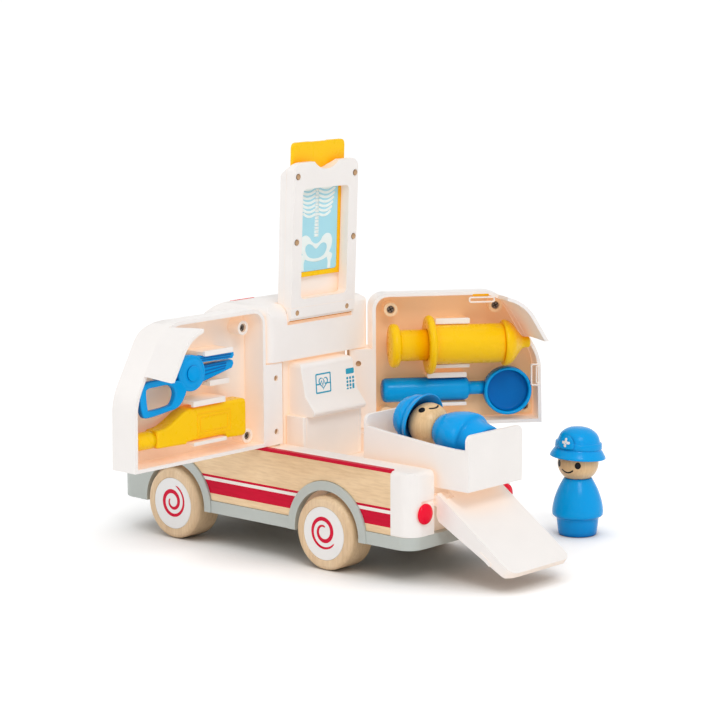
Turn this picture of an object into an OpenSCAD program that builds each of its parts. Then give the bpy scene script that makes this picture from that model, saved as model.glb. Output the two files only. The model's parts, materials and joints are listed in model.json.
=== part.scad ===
// Toy ambulance with opening side cabinets, roof lid, tailgate ramp, stretcher, tools and two dolls.
// Millimetres. Front is +X, left is +Y, up is +Z. Ground is z = 0, mid wheelbase is x = 0.

/* [Wheels] */
// Wheel radius
wheel_r = 22.5; // [18:0.5:28]
// Wheel width
wheel_w = 21; // [10:0.5:24]
// Distance between the axles
wheelbase = 129; // [100:1:170]
// Middle between the axles, lengthwise
wheel_mid_x = -5.2; // [-20:0.1:20]
// Outer wheel face from the mid plane
wheel_face_y = 52.2; // [40:0.1:60]
// Rounding of the wheel edge
wheel_edge_r = 3; // [1:0.25:5]
// Radius of the white hub disc
hub_disc_r = 16.2; // [10:0.1:18]
// Thickness of the hub disc
hub_disc_t = 1.2; // [0.6:0.1:3]
// Axle radius
axle_r = 2.5; // [1.5:0.1:4]

/* [Body] */
// Half width over the wood panels
body_hw = 48.6; // [40:0.2:60]
// Thickness of a wood panel
panel_t = 4; // [2:0.2:8]
// Underside of the chassis
chassis_z0 = 20.6; // [15:0.2:26]
// Top of the chassis strip
chassis_z1 = 28.2; // [24:0.2:34]
// Top of the body rim
rim_z = 66.6; // [55:0.2:80]
// How far the wood panels stand above the rim
panel_rise = 0.8; // [0.1:0.1:1]
// Load floor
floor_z = 55; // [48:0.2:62]
// Thickness of the load floor
floor_t = 3; // [2:0.2:5]
// Half width of the rear opening
gate_hw = 28.5; // [20:0.2:36]
// Rear face of the corner posts
rear_x = -136.2; // [-160:0.2:-110]
// Front edge of the corner posts
post_x = -119.7; // [-130:0.1:-100]
// Corner radius of the posts
post_r = 10; // [4:0.5:14]
// Front face of the bumper
bumper_x = 111.5; // [90:0.5:130]
// Top of the front bumper
bumper_z = 38; // [30:1:50]
// Corner radius of the bumper
bumper_r = 13; // [4:0.5:20]
// Inner radius of the wheel arch
arch_r0 = 25.8; // [23:0.2:32]
// Outer radius of the wheel arch
arch_r1 = 31.4; // [28:0.2:38]
// How far the arch stands out of the wood
arch_proud = 1.2; // [0:0.2:8]
// Tail light radius
tail_r = 6.2; // [3:0.1:9]
// Tail light height
tail_z = 41.7; // [34:0.1:56]
// Tail light distance from the mid plane
tail_y = 37.3; // [32:0.1:44]
// Head light radius
head_light_r = 7; // [4:0.1:10]

/* [Cab] */
// Half width of the cab
cab_hw = 46.2; // [38:0.2:56]
// Roof height
roof_z = 153.2; // [130:0.2:180]
// Rear face of the cab ears
ear_x = -19.8; // [-30:0.2:-10]
// Underside of the ears
ear_z = 118.8; // [100:0.2:130]
// Rounding of the roof edges
roof_r = 9; // [3:0.5:14]
// Rounding of the outer ear corner
ear_r = 6; // [3:0.25:8]
// Cab wall thickness
cab_wall = 3; // [2:0.2:5]
// Half width of the console
console_hw = 23.6; // [15:0.2:27]
// Top of the console
console_z = 116.4; // [100:0.2:130]

/* [Side cabinets] */
// Hinge axis, lengthwise
hinge_x = -14.2; // [-25:0.1:-5]
// Hinge axis from the mid plane
hinge_y = 33.5; // [30:0.1:42]
// Hinge pin radius
hinge_pin_r = 1.8; // [1:0.1:3]
// Open face of a closed cabinet from the mid plane
face_y = 29.2; // [26:0.1:34]
// Outer skin of a closed cabinet from the mid plane
skin_y = 48.6; // [42:0.2:60]
// Wall thickness
shell_wall = 2.2; // [1.2:0.1:4]
// Gap between a cab ear and an open cabinet
ear_gap = 0.9; // [0.5:0.1:2]
// Distance from the axis to the near wall
shell_near = 13.6; // [12:0.1:20]
// Distance from the axis to the far wall
shell_far = 122.6; // [100:0.2:140]
// Bottom edge
shell_z0 = 67.9; // [60:0.1:80]
// Top edge
shell_z1 = 153; // [130:0.2:180]
// Top of the hinge block
block_z = 118.1; // [90:0.1:125]
// Lower edge of the corner flap
flap_z = 124.2; // [115:0.1:140]
// Outward lean of the corner flap
flap_lean = 12; // [0:0.5:20]
// Opening angle of the left cabinet as shown
left_open = 90; // [0:1:95]
// Opening angle of the right cabinet as shown
right_open = 51; // [0:1:95]
// Thickness of a tool board
board_t = 1.8; // [1:0.1:3]
// Radius of a screw boss
boss_r = 4.4; // [3:0.1:6]
// Radius of a screw head
screw_r = 2.3; // [1:0.1:3]

/* [Roof lid] */
// Hinge axis, lengthwise
lid_axis_x = -17; // [-24:0.1:-10]
// Hinge axis height
lid_axis_z = 147.6; // [135:0.1:160]
// Half width of the lid
lid_hw = 28.7; // [20:0.1:32]
// Lid length above the axis
lid_len = 92; // [60:0.2:110]
// Lid below the axis
lid_heel = 5; // [3:0.1:8]
// Window face from the axis
lid_in = 5.6; // [3:0.1:8]
// Outer face from the axis
lid_out = 5.9; // [3:0.1:8]
// Thickness of the window frame
lid_frame_t = 6.6; // [2:0.1:8]
// Opening angle as shown
lid_open = 87.5; // [0:0.5:95]
// Half width of the window
window_hw = 20.6; // [10:0.2:23]
// Lower edge of the window above the axis
window_z0 = 8.4; // [4:0.2:20]
// Upper edge of the window, down from the lid's free end
window_z1 = 16.2; // [10:0.2:42]
// Lid pin radius
lid_pin_r = 1.6; // [1:0.1:2.5]
// Half width of the picture slide
slide_hw = 22.9; // [15:0.1:25]
// Thickness of the picture slide
slide_t = 2.6; // [1.5:0.1:3.5]
// Length of the picture slide
slide_len = 83; // [50:0.5:100]
// Lower end of the slide above the axis as shown
slide_z = 20.4; // [6:0.2:40]

/* [Tailgate ramp] */
// Hinge axis, lengthwise
ramp_axis_x = -137; // [-150:0.1:-125]
// Hinge axis height
ramp_axis_z = 48; // [40:0.1:55]
// Walking surface above the axis
ramp_top = 4.3; // [3:0.1:8]
// Length from the axis to the tip
ramp_len = 66.8; // [40:0.2:90]
// Half width
ramp_hw = 28; // [18:0.1:34]
// Skirt depth at the hinge
ramp_d0 = 13; // [8:0.2:18]
// Skirt depth at the tip
ramp_d1 = 6; // [3:0.2:12]
// Slope as shown
ramp_slope = 35.3; // [10:0.1:45]
// Ramp pin radius
ramp_pin_r = 1.5; // [1:0.1:2]

/* [Stretcher] */
// Rear face as shown
bed_x = -159; // [-180:0.5:-130]
// Length
bed_len = 81; // [60:0.5:100]
// Half width
bed_hw = 25; // [18:0.2:27]
// Side wall top
bed_wall_z = 79.6; // [65:0.2:90]
// Footboard top
bed_foot_z = 88.7; // [70:0.2:100]
// Headboard top
bed_head_z = 92; // [70:0.2:110]
// Wall thickness
bed_wall = 2.4; // [1.5:0.1:4]
// Floor thickness
bed_floor = 2.6; // [1.5:0.1:4]
// Height of the lying surface above the tray underside
bed_rise = 9.4; // [4:0.1:14]

/* [Dolls] */
// Doll height with hat
doll_h = 70; // [50:0.5:90]
// Largest body radius
doll_r = 16.1; // [10:0.1:22]
// Foot radius
doll_foot_r = 12.3; // [8:0.1:18]
// Head radius
doll_head_r = 12.9; // [8:0.1:18]
// Hat brim radius
doll_brim_r = 17.6; // [10:0.1:24]
// Tilt of the lying doll, head end raised
patient_tilt = 10; // [0:1:20]
// Place of the standing doll, lengthwise
medic_x = -125.5; // [-200:0.5:-60]
// Place of the standing doll, sideways
medic_y = -124; // [-200:0.5:-90]

/* [Tools] */
// Syringe axis height
syringe_z = 120.3; // [110:0.1:130]
// Syringe barrel radius
syringe_r = 12.4; // [8:0.1:14]
// Syringe rod radius
syringe_rod_r = 9.8; // [6:0.1:11]
// Syringe finger flange radius
syringe_flange_r = 18.6; // [14:0.1:19]
// Dental mirror axis height
mirror_z = 90.2; // [82:0.1:96]
// Mirror handle radius
mirror_r = 7.7; // [5:0.1:9]
// Mirror dish radius
mirror_dish_r = 15.4; // [10:0.1:17]
// Scissors rivet height
scissor_z = 120.8; // [115:0.1:126]
// Scissors rivet distance from the cabinet hinge
scissor_s = 74.4; // [60:0.1:85]
// Thickness of one scissor half
scissor_t = 4.4; // [2:0.1:6]
// Thickness of the ear thermometer
thermo_t = 11.4; // [8:0.2:13]

/* [Fits] */
// Running clearance of pins and slides
run_fit = 0.08; // [0.02:0.01:0.1]
// Seam between fixed pieces
seam = 0.1; // [0.02:0.01:0.3]
// Gap between moving faces
gap = 0.4; // [0.2:0.05:1]

/* [Hidden] */
front_x = wheel_mid_x + wheelbase / 2;
back_x = wheel_mid_x - wheelbase / 2;
wheel_in_y = wheel_face_y - wheel_w;
panel_in = body_hw - panel_t;
ramp_close = 90 + ramp_slope;
bed_z = floor_z + 0.3;
bed_head_x = bed_x + bed_len;
bed_top = bed_z + bed_rise;
patient_x = bed_x + bed_wall + 2.6;
patient_z = bed_top + max(
  0.55 + doll_r * cos(patient_tilt) - 15 * sin(patient_tilt),
  0.55 + doll_brim_r * cos(patient_tilt) - 50 * sin(patient_tilt)
);
pillow_x = patient_x + 42;
pillow_z = max(bed_top + 0.2, patient_z + 50 * sin(patient_tilt) - doll_brim_r * cos(patient_tilt) - 0.35);
skirt_x = rear_x + 0.4;
board_y = skin_y - shell_wall - board_t;
cavity_y = skin_y - shell_wall;
tool_s = max(0, cab_hw + ear_gap - hinge_y - shell_near);
syringe_y = cavity_y - board_t - 0.3 - syringe_flange_r;
mirror_y = board_y - 0.4 - mirror_r;
lid_slot_in = lid_in - lid_frame_t;
bulk_hw = min(gate_hw - seam, face_y - 0.8);

function arc(cx, cy, r, a0, a1, n) = [
  for (i = [0 : n]) [cx + r * cos(a0 + (a1 - a0) * i / n), cy + r * sin(a0 + (a1 - a0) * i / n)]
];
function round_rect(x0, x1, y0, y1, r, n) = concat(
  arc(x1 - r, y1 - r, r, 0, 90, n),
  arc(x0 + r, y1 - r, r, 90, 180, n),
  arc(x0 + r, y0 + r, r, 180, 270, n),
  arc(x1 - r, y0 + r, r, 270, 360, n)
);

module box(x0, x1, y0, y1, z0, z1) {
  translate([x0, y0, z0]) cube([x1 - x0, y1 - y0, z1 - z0]);
}
module y_rod(x, z, r, y0, y1) {
  translate([x, y0, z]) rotate([-90, 0, 0]) cylinder(r = r, h = y1 - y0, $fn = 48);
}
module z_rod(x, y, r, z0, z1) {
  translate([x, y, z0]) cylinder(r = r, h = z1 - z0, $fn = 48);
}
module xz_plate(pts, y0, y1) {
  translate([0, y1, 0]) rotate([90, 0, 0]) linear_extrude(height = y1 - y0) polygon(pts);
}
module yz_plate(pts, x0, x1) {
  translate([x0, 0, 0]) rotate([90, 0, 90]) linear_extrude(height = x1 - x0) polygon(pts);
}
module xy_plate(pts, z0, z1) {
  translate([0, 0, z0]) linear_extrude(height = z1 - z0) polygon(pts);
}
module both_sides() {
  children();
  mirror([0, 1, 0]) children();
}
module wheel_places() {
  translate([front_x, 0, wheel_r]) children();
  translate([back_x, 0, wheel_r]) children();
}

// Grey chassis: floor strip, bumper, wheel arches and axle bearings.
module chassis_plan() {
  front_arc = concat(
    arc(bumper_x - bumper_r, body_hw + 0.8 - bumper_r, bumper_r, 0, 90, 8)
  );
  rear_arc = arc(skirt_x + post_r, body_hw + 0.6 - post_r, post_r, 90, 180, 8);
  half = concat(front_arc, rear_arc);
  other = [for (i = [len(half) - 1 : -1 : 0]) [half[i][0], -half[i][1]]];
  polygon(concat(half, other));
}
module bumper_plan() {
  front_arc = arc(bumper_x - bumper_r, body_hw + 0.8 - bumper_r, bumper_r, 0, 90, 8);
  half = concat(front_arc, [[front_x + arch_r0 + 1, body_hw + 0.8]]);
  other = [for (i = [len(half) - 1 : -1 : 0]) [half[i][0], -half[i][1]]];
  polygon(concat(half, other));
}
module chassis_base() {
  color([0.74, 0.76, 0.74]) difference() {
    union() {
      translate([0, 0, chassis_z0]) linear_extrude(height = chassis_z1 - chassis_z0) chassis_plan();
      translate([0, 0, chassis_z0]) linear_extrude(height = bumper_z - chassis_z0) bumper_plan();
      wheel_places() both_sides() difference() {
        y_rod(0, 0, arch_r1, panel_in + seam, body_hw + arch_proud);
        box(-50, 50, 0, 80, -60, chassis_z0 - wheel_r);
      }
      for (x = [front_x, back_x]) box(x - 8, x + 8, -25.5, 25.5, 14, chassis_z0 + 1);
    }
    wheel_places() both_sides() y_rod(0, 0, arch_r0, wheel_in_y - 1.6, 80);
    wheel_places() y_rod(0, 0, axle_r + run_fit, -40, 40);
    box(-20, bumper_x - 17, -34, 34, chassis_z1 - 0.01, bumper_z + 1);
    box(front_x + arch_r0, bumper_x - 4, -40, 40, chassis_z1, bumper_z + 1);
    box(front_x + arch_r0, 90 + seam, -panel_in, panel_in, chassis_z1, bumper_z + 1);
    for (x = [-100, 0]) for (y = [-18, 18]) z_rod(x, y, 3.1, chassis_z0 - 1, chassis_z0 + 2.4);
    for (x = [-100, 0]) for (y = [-18, 18]) z_rod(x, y, 1.5, chassis_z0 - 1, chassis_z1 + 1);
  }
}
module chassis_screws() {
  color([0.55, 0.55, 0.55]) for (x = [-100, 0]) for (y = [-18, 18]) {
    z_rod(x, y, 2.9, chassis_z0 + 0.6, chassis_z0 + 2.4);
    z_rod(x, y, 1.5, chassis_z0 + 2.3, chassis_z1 + 6);
  }
}

// White tub: rails beside the load floor, rim and rear corner posts.
module post_solid() {
  plan = concat(
    [[post_x, gate_hw], [post_x, body_hw]],
    arc(rear_x + post_r, body_hw - post_r, post_r, 90, 180, 8),
    [[rear_x, gate_hw]]
  );
  top = concat(
    [[gate_hw - 1, chassis_z1], [body_hw + 1, chassis_z1]],
    arc(body_hw - 3, rim_z - 3, 3, 0, 90, 5),
    [[gate_hw - 1, rim_z]]
  );
  side = concat(
    [[post_x + 1, chassis_z1], [post_x + 1, rim_z]],
    arc(rear_x + 4, rim_z - 4, 4, 90, 180, 5),
    [[rear_x, chassis_z1]]
  );
  intersection() {
    xy_plate(plan, chassis_z1 + seam, rim_z);
    yz_plate(top, rear_x - 1, post_x + 1);
    xz_plate(side, gate_hw - 1, body_hw + 1);
  }
}
module body_tub() {
  color([0.96, 0.94, 0.92]) difference() {
    union() {
      both_sides() difference() {
        box(post_x, 90, gate_hw, panel_in - seam, chassis_z1 + seam, rim_z);
        box(2, 91, gate_hw - 1, panel_in - 6, chassis_z1, floor_z);
      }
      both_sides() post_solid();
      box(-131.2, 2, -gate_hw, gate_hw, floor_z - floor_t, floor_z);
      box(-131.2, -128.2, -gate_hw, gate_hw, chassis_z1 + seam, floor_z);
      box(-1, 2, -gate_hw, gate_hw, chassis_z1 + seam, floor_z);
      for (s = [-1, 1]) {
        box(-131.4, ramp_axis_x, s * 21 - 3, s * 21 + 3, ramp_axis_z - 3.1, ramp_axis_z + 3.1);
        y_rod(ramp_axis_x, ramp_axis_z, 3.1, s * 21 - 3, s * 21 + 3);
        for (x = [-100, 0]) z_rod(x, s * 18, 4, chassis_z1 + seam, floor_z - 1);
      }
    }
    wheel_places() both_sides() y_rod(0, 0, arch_r0 + 0.6, 20, 80);
    both_sides() z_rod(hinge_x, hinge_y, hinge_pin_r, 57, 80);
    y_rod(ramp_axis_x, ramp_axis_z, ramp_pin_r, -40, 40);
    both_sides() translate([rear_x, tail_y, tail_z]) rotate([0, 90, 0]) cylinder(r = 3, h = 5, $fn = 48);
    for (x = [-100, 0]) for (y = [-18, 18]) z_rod(x, y, 1.5, chassis_z1 - 1, chassis_z1 + 7);
  }
}
module side_panel() {
  difference() {
    box(post_x + seam, 90, panel_in, body_hw, chassis_z1 + seam, rim_z + panel_rise);
    box(1.4, 91, panel_in - 1, cab_hw + seam, rim_z, rim_z + panel_rise + 1);
    wheel_places() y_rod(0, 0, arch_r1 + seam, 20, 80);
    box(front_x + arch_r0 + 1 - seam, 120, 20, 80, 10, bumper_z + seam);
  }
}
module left_side_panel() {
  color([0.88, 0.76, 0.6]) side_panel();
}
module right_side_panel() {
  color([0.88, 0.76, 0.6]) mirror([0, 1, 0]) side_panel();
}
module lamp(r, h, plug_r, plug_h) {
  rotate_extrude($fn = 64) polygon(concat(
    [[0, -plug_h], [plug_r, -plug_h], [plug_r, 0], [r, 0]],
    [for (i = [0 : 8]) [r * cos(i * 90 / 8), 0.6 + (h - 0.6) * sin(i * 90 / 8)]]
  ));
}
module tail_light_left() {
  color([0.92, 0.1, 0.3]) translate([rear_x, tail_y, tail_z]) rotate([0, -90, 0]) lamp(tail_r, 3, 3, 4);
}
module tail_light_right() {
  color([0.92, 0.1, 0.3]) translate([rear_x, -tail_y, tail_z]) rotate([0, -90, 0]) lamp(tail_r, 3, 3, 4);
}

// Cab: roof with two ears at the back, sloped front, window openings.
function cab_side(d) = concat(
  [[ear_x + d, ear_z + d]],
  arc(ear_x + 9, roof_z - 9, 9 - d, 180, 90, 6),
  arc(17, roof_z - 20, 20 - d, 90, 55, 5),
  arc(80, 84, 24 - d, 55, 4, 6),
  [[104 - d, bumper_z + seam], [91, bumper_z + seam], [91, rim_z + seam]],
  [[2 + d, rim_z + seam], [2 + d, ear_z + d]]
);
function cab_front(d) = concat(
  [[-cab_hw + d, 20], [cab_hw - d, 20]],
  arc(cab_hw - roof_r, roof_z - roof_r, roof_r - d, 0, 90, 6),
  arc(-cab_hw + roof_r, roof_z - roof_r, roof_r - d, 90, 180, 6)
);
// Point on the sloped front: t runs down the slope, d stands out of it.
function screen_pt(t, d) = [28.5 + 0.818 * t + 0.575 * d, roof_z - 3.6 - 0.575 * t + 0.818 * d];
function screen_band(t0, t1, d0, d1) = [
  screen_pt(t0, d0), screen_pt(t1, d0), screen_pt(t1, d1), screen_pt(t0, d1)
];
function window_outline(d) = concat(
  arc(20, 108, 4 + d, 180, 270, 4),
  arc(65, 108, 4 + d, 270, 415, 8),
  arc(28, 134, 4 + d, 55, 90, 4),
  arc(20, 134, 4 + d, 90, 180, 4)
);
module cab_shell() {
  plan = concat(
    arc(ear_x + ear_r, cab_hw - ear_r, ear_r, 180, 90, 5),
    arc(104 - 16, cab_hw - 16, 16, 90, 0, 8),
    arc(104 - 16, -cab_hw + 16, 16, 0, -90, 8),
    arc(ear_x + ear_r, -cab_hw + ear_r, ear_r, 270, 180, 5)
  );
  color([0.96, 0.94, 0.92]) difference() {
    intersection() {
      xz_plate(cab_side(0), -cab_hw, cab_hw);
      yz_plate(cab_front(0), ear_x - 1, 110);
      xy_plate(plan, 20, 170);
    }
    intersection() {
      xz_plate(concat(
        [[5, rim_z - 1], [5, ear_z + cab_wall]],
        [[5, roof_z - cab_wall]],
        arc(17, roof_z - 20, 20 - cab_wall, 90, 55, 5),
        arc(80, 84, 24 - cab_wall, 55, 4, 6),
        [[101, bumper_z - 1], [91, bumper_z - 1], [91, rim_z - 1]]
      ), -cab_hw + cab_wall, cab_hw - cab_wall);
      yz_plate(cab_front(cab_wall), ear_x - 1, 110);
    }
    box(ear_x - 1, -8.2, -lid_hw - gap, lid_hw + gap, 140.6, roof_z + 1);
    y_rod(lid_axis_x, lid_axis_z, lid_pin_r, -37, 37);
    both_sides() z_rod(hinge_x, hinge_y, hinge_pin_r, 100, 126);
    xz_plate(screen_band(12, 66, -6, 6), -33, 33);
    xz_plate(window_outline(0), -80, 80);
    both_sides() translate([107, 30, 56]) rotate([0, -90, 0]) cylinder(r = 4, h = 12, $fn = 48);
  }
}
module windscreen() {
  color([0.45, 0.6, 0.68])
    xz_plate(screen_band(12 + seam, 66 - seam, -2.4, -0.6), -33 + seam, 33 - seam);
}
module cab_window() {
  xz_plate(window_outline(-seam), cab_hw - 2.2, cab_hw - 0.6);
}
module left_cab_window() {
  color([0.45, 0.6, 0.68]) cab_window();
}
module right_cab_window() {
  color([0.45, 0.6, 0.68]) mirror([0, 1, 0]) cab_window();
}
module head_light() {
  translate([104, 30, 56]) rotate([0, 90, 0]) lamp(head_light_r, 3, 3.9, 3);
}
module head_light_left() {
  color([0.98, 0.93, 0.7]) head_light();
}
module head_light_right() {
  color([0.98, 0.93, 0.7]) mirror([0, 1, 0]) head_light();
}
module cab_bulkhead() {
  color([0.95, 0.92, 0.88]) difference() {
    box(-15, 1.9, -bulk_hw, bulk_hw, floor_z + seam, ear_z - seam);
    box(-12, 3, -24.6, 24.6, floor_z + 3, ear_z - 3);
  }
}
module monitor_console() {
  side = concat(
    [[-15.1, floor_z + seam], [-30, floor_z + seam], [-30, 84], [-35.4, 84.7]],
    arc(-34.6, 86.9, 1.9, 240, 130, 4),
    [[-29, 96.5], [-25.6, console_z - 4]],
    arc(-22.4, console_z - 3.4, 3.2, 172, 96, 4),
    [[-15.1, console_z + 0.4]]
  );
  front = concat(
    [[-console_hw, 40], [console_hw, 40]],
    arc(console_hw - 4, console_z + 1 - 4, 4, 0, 90, 4),
    arc(-console_hw + 4, console_z + 1 - 4, 4, 90, 180, 4)
  );
  color([0.97, 0.95, 0.93]) difference() {
    intersection() {
      xz_plate(side, -console_hw, console_hw);
      yz_plate(front, -45, -10);
    }
    box(-27, -14, -console_hw + 3, console_hw - 3, floor_z - 1, 90);
  }
}

// Side cabinet, drawn closed on the left side; s is the distance from its hinge axis.
function sx(s) = hinge_x - tool_s - s;
function shell_profile(d) = concat(
  [[sx(shell_near + d), shell_z0 + d], [sx(shell_far - d), shell_z0 + d]],
  arc(sx(shell_far - 36.4), 100, 36 - d, 175, 150, 5),
  arc(sx(83), 128, 25 - d, 149, 92, 8),
  arc(sx(shell_near + 10), shell_z1 - 10, 10 - d, 90, 0, 6)
);
function shell_cross(d) = concat(
  [[face_y - 40, shell_z0 - 1], [skin_y - d, shell_z0 - 1]],
  arc(skin_y - 8, shell_z1 - 8, 8 - d, 0, 90, 6),
  [[face_y - 40, shell_z1 - d]]
);
boss_places = [[26.4, 141.8, 9], [93.6, 142.8, 9], [114, 76.6, 3.6], [23.6, 75.4, 9]];
module shell_closed() {
  difference() {
    union() {
      difference() {
        intersection() {
          xz_plate(shell_profile(0), face_y, skin_y);
          yz_plate(shell_cross(0), sx(shell_far + 2), sx(shell_near - 2));
        }
        intersection() {
          xz_plate(shell_profile(shell_wall), face_y - 1, cavity_y);
          yz_plate(shell_cross(shell_wall), sx(shell_far + 2), sx(shell_near - 2));
        }
      }
      difference() {
        translate([sx(94), face_y, 0]) rotate([0, 0, -flap_lean]) translate([-sx(94), -face_y, 0])
        difference() {
          xz_plate(shell_profile(0), -10, face_y + 8);
          xz_plate(shell_profile(shell_wall), -11, face_y + 9);
        }
        box(sx(94), 60, -60, 90, 0, 200);
        box(sx(160), sx(60), -60, 90, 0, flap_z);
        box(sx(160), sx(60), -60, gap, 0, 200);
        box(sx(160), sx(60), face_y + 0.1, 90, 0, 200);
      }
      xy_plate(concat(
        [[sx(shell_near + 1), face_y], [sx(shell_near + 1), skin_y]],
        arc(hinge_x - 5.3, skin_y - 6, 6, 90, 0, 6),
        [[hinge_x + 0.7, face_y]]
      ), shell_z0, block_z);
      for (p = boss_places) translate([sx(p[0]), board_y, p[1]]) rotate([-90, 0, 0])
        cylinder(r = boss_r - 1, h = cavity_y - board_y + 0.2, $fn = 48);
    }
    z_rod(hinge_x, hinge_y, hinge_pin_r + run_fit, 40, 160);
    for (z = [76, 109]) y_rod(hinge_x - 4.7, z, 1.8, face_y - 1, face_y + 3);
    for (p = boss_places) y_rod(sx(p[0]), p[1], 1.2, board_y - 3, cavity_y + 0.2);
  }
}
module tool_board(rails) {
  difference() {
    union() {
      intersection() {
        xz_plate(shell_profile(shell_wall + 0.6), board_y, cavity_y - seam);
        yz_plate(shell_cross(shell_wall + 0.6), sx(shell_far), sx(shell_near));
      }
      for (p = boss_places) y_rod(sx(p[0]), p[1], boss_r, board_y - p[2], board_y + 0.1);
      for (r = rails) {
        box(sx(r[1]), sx(r[0]), r[3], board_y + 0.1, r[2], r[2] + 2);
        box(sx(r[1]), sx(r[0]), r[3], r[3] + 2.2, r[2] + min(0, r[4]), r[2] + 2 + max(0, r[4]));
      }
    }
    for (p = boss_places) {
      y_rod(sx(p[0]), p[1], boss_r - 1 + seam, board_y - seam, cavity_y + 1);
      y_rod(sx(p[0]), p[1], screw_r + 0.3, board_y - 10, board_y - p[2] + 2.6);
      y_rod(sx(p[0]), p[1], 1.2, board_y - 10, board_y + 1);
    }
  }
}
module board_screws() {
  for (p = boss_places) {
    y_rod(sx(p[0]), p[1], screw_r, board_y - p[2] + 1, board_y - p[2] + 2.6);
    y_rod(sx(p[0]), p[1], 1.2, board_y - p[2] + 2.5, cavity_y - 0.2);
  }
}
module left_place() {
  translate([hinge_x, hinge_y, 0]) rotate([0, 0, -left_open]) translate([-hinge_x, -hinge_y, 0]) children();
}
module right_place() {
  translate([hinge_x, -hinge_y, 0]) rotate([0, 0, right_open]) translate([-hinge_x, hinge_y, 0])
    mirror([0, 1, 0]) children();
}
module left_shell() {
  color([0.96, 0.94, 0.92]) left_place() shell_closed();
}
module right_shell() {
  color([0.96, 0.94, 0.92]) right_place() shell_closed();
}
// Clip rails: start, end, underside, front edge, height of the lip (minus means below the rail).
left_rails = [
  [42.5, 66, 130.3, face_y - 1.2, 0.4], [42, 58, 110.8, face_y + 3.1, 1.2],
  [50, 76.5, 102.4, face_y - 1.6, -1.3], [49.5, 76.5, 77.9, face_y - 1.6, -0.2]
];
right_rails = [
  [53, 75, 133.2, syringe_y - 0.5, 1.4], [53, 75, 105.3, syringe_y - 0.5, 0.2],
  [49, 74, 98.3, mirror_y - 6.6, 1.2], [52, 74, 80.2, mirror_y - 6.6, 0]
];
module left_tool_board() {
  color([0.97, 0.94, 0.9]) left_place() tool_board(left_rails);
}
module right_tool_board() {
  color([0.97, 0.94, 0.9]) right_place() tool_board(right_rails);
}
module left_board_screws() {
  color([0.4, 0.38, 0.36]) left_place() board_screws();
}
module right_board_screws() {
  color([0.4, 0.38, 0.36]) right_place() board_screws();
}
module hinge_pin() {
  z_rod(hinge_x, hinge_y, hinge_pin_r, 57, 126);
}
module left_hinge_pin() {
  color([0.6, 0.6, 0.62]) hinge_pin();
}
module right_hinge_pin() {
  color([0.6, 0.6, 0.62]) mirror([0, 1, 0]) hinge_pin();
}

// Roof lid, drawn upright around its hinge axis, then leaned to its shown angle.
module lid_place() {
  translate([lid_axis_x, 0, lid_axis_z]) rotate([0, lid_open - 90, 0]) children();
}
lid_screw_places = [
  [25.2, lid_len - 8.3], [-25.8, lid_len - 9.1], [25.2, lid_len / 2 - 2.2],
  [-25.8, lid_len / 2 - 2.7], [23.2, 0.3], [-21.7, -0.1]
];
module lid_outline(x0, x1) {
  yz_plate(concat(
    arc(lid_hw - 6, lid_len - 6, 6, 0, 90, 6),
    arc(0, lid_len + 9.9, 14.8, -42, -138, 10),
    arc(-lid_hw + 6, lid_len - 6, 6, 90, 180, 6),
    arc(-lid_hw + 2, -lid_heel + 2, 2, 180, 270, 3),
    arc(lid_hw - 2, -lid_heel + 2, 2, 270, 360, 3)
  ), x0, x1);
}
// Slope at the free end, so that the closed lid passes the cabinets' corner flaps.
module lid_end_cut() {
  xz_plate([
    [lid_out + 1, lid_len - 9], [-3, lid_len + 0.5], [-3, lid_len + 30],
    [30, lid_len + 30], [30, lid_len - 9]
  ], -60, 60);
}
module roof_lid() {
  heel = [
    [-lid_in + 3.4, -lid_heel - 1], [-lid_in - 1, -lid_heel + 3.4], [-lid_in - 1, -lid_heel - 1]
  ];
  color([0.96, 0.94, 0.92]) lid_place() difference() {
    union() {
      lid_outline(-lid_slot_in, lid_out);
      yz_plate([[-lid_hw, -lid_heel], [lid_hw, -lid_heel], [lid_hw, 3.4], [-lid_hw, 3.4]], -lid_in, lid_out);
    }
    box(-lid_slot_in - 0.1, -lid_slot_in + slide_t + 2 * run_fit,
      -slide_hw - run_fit, slide_hw + run_fit, 6, 120);
    y_rod(0, 0, lid_pin_r + run_fit, -60, 60);
    xz_plate(heel, -60, 60);
    lid_end_cut();
    for (p = lid_screw_places) if (p[1] < 10) translate([-lid_in - 1, p[0], p[1]]) rotate([0, 90, 0])
      cylinder(r = 1.7, h = 2.2, $fn = 40);
    for (p = lid_screw_places) if (p[1] > 10) translate([-lid_slot_in - 1, p[0], p[1]]) rotate([0, 90, 0])
      cylinder(r = 0.9, h = 5, $fn = 32);
  }
}
module lid_frame() {
  color([0.97, 0.95, 0.93]) lid_place() difference() {
    intersection() {
      lid_outline(-lid_in, -lid_slot_in - seam);
      box(-20, 20, -60, 60, 3.4 + seam, 200);
    }
    yz_plate(round_rect(-window_hw, window_hw, window_z0, lid_len - window_z1, 3, 4), -lid_in - 1, 10);
    lid_end_cut();
    for (p = lid_screw_places) if (p[1] > 10) translate([-lid_in - 1, p[0], p[1]]) rotate([0, 90, 0]) {
      cylinder(r = 2, h = 2.6, $fn = 40);
      cylinder(r = 0.9, h = 9, $fn = 32);
    }
  }
}
module lid_screws() {
  color([0.5, 0.47, 0.44]) lid_place() for (p = lid_screw_places) if (p[1] > 10)
    translate([-lid_in + 0.5, p[0], p[1]]) rotate([0, 90, 0]) {
      cylinder(r = 1.8, h = 1.1, $fn = 40);
      cylinder(r = 0.9, h = 7.6, $fn = 32);
    }
}
module lid_hinge_pin() {
  color([0.6, 0.6, 0.62]) y_rod(lid_axis_x, lid_axis_z, lid_pin_r, -36.6, 36.6);
}
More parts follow.
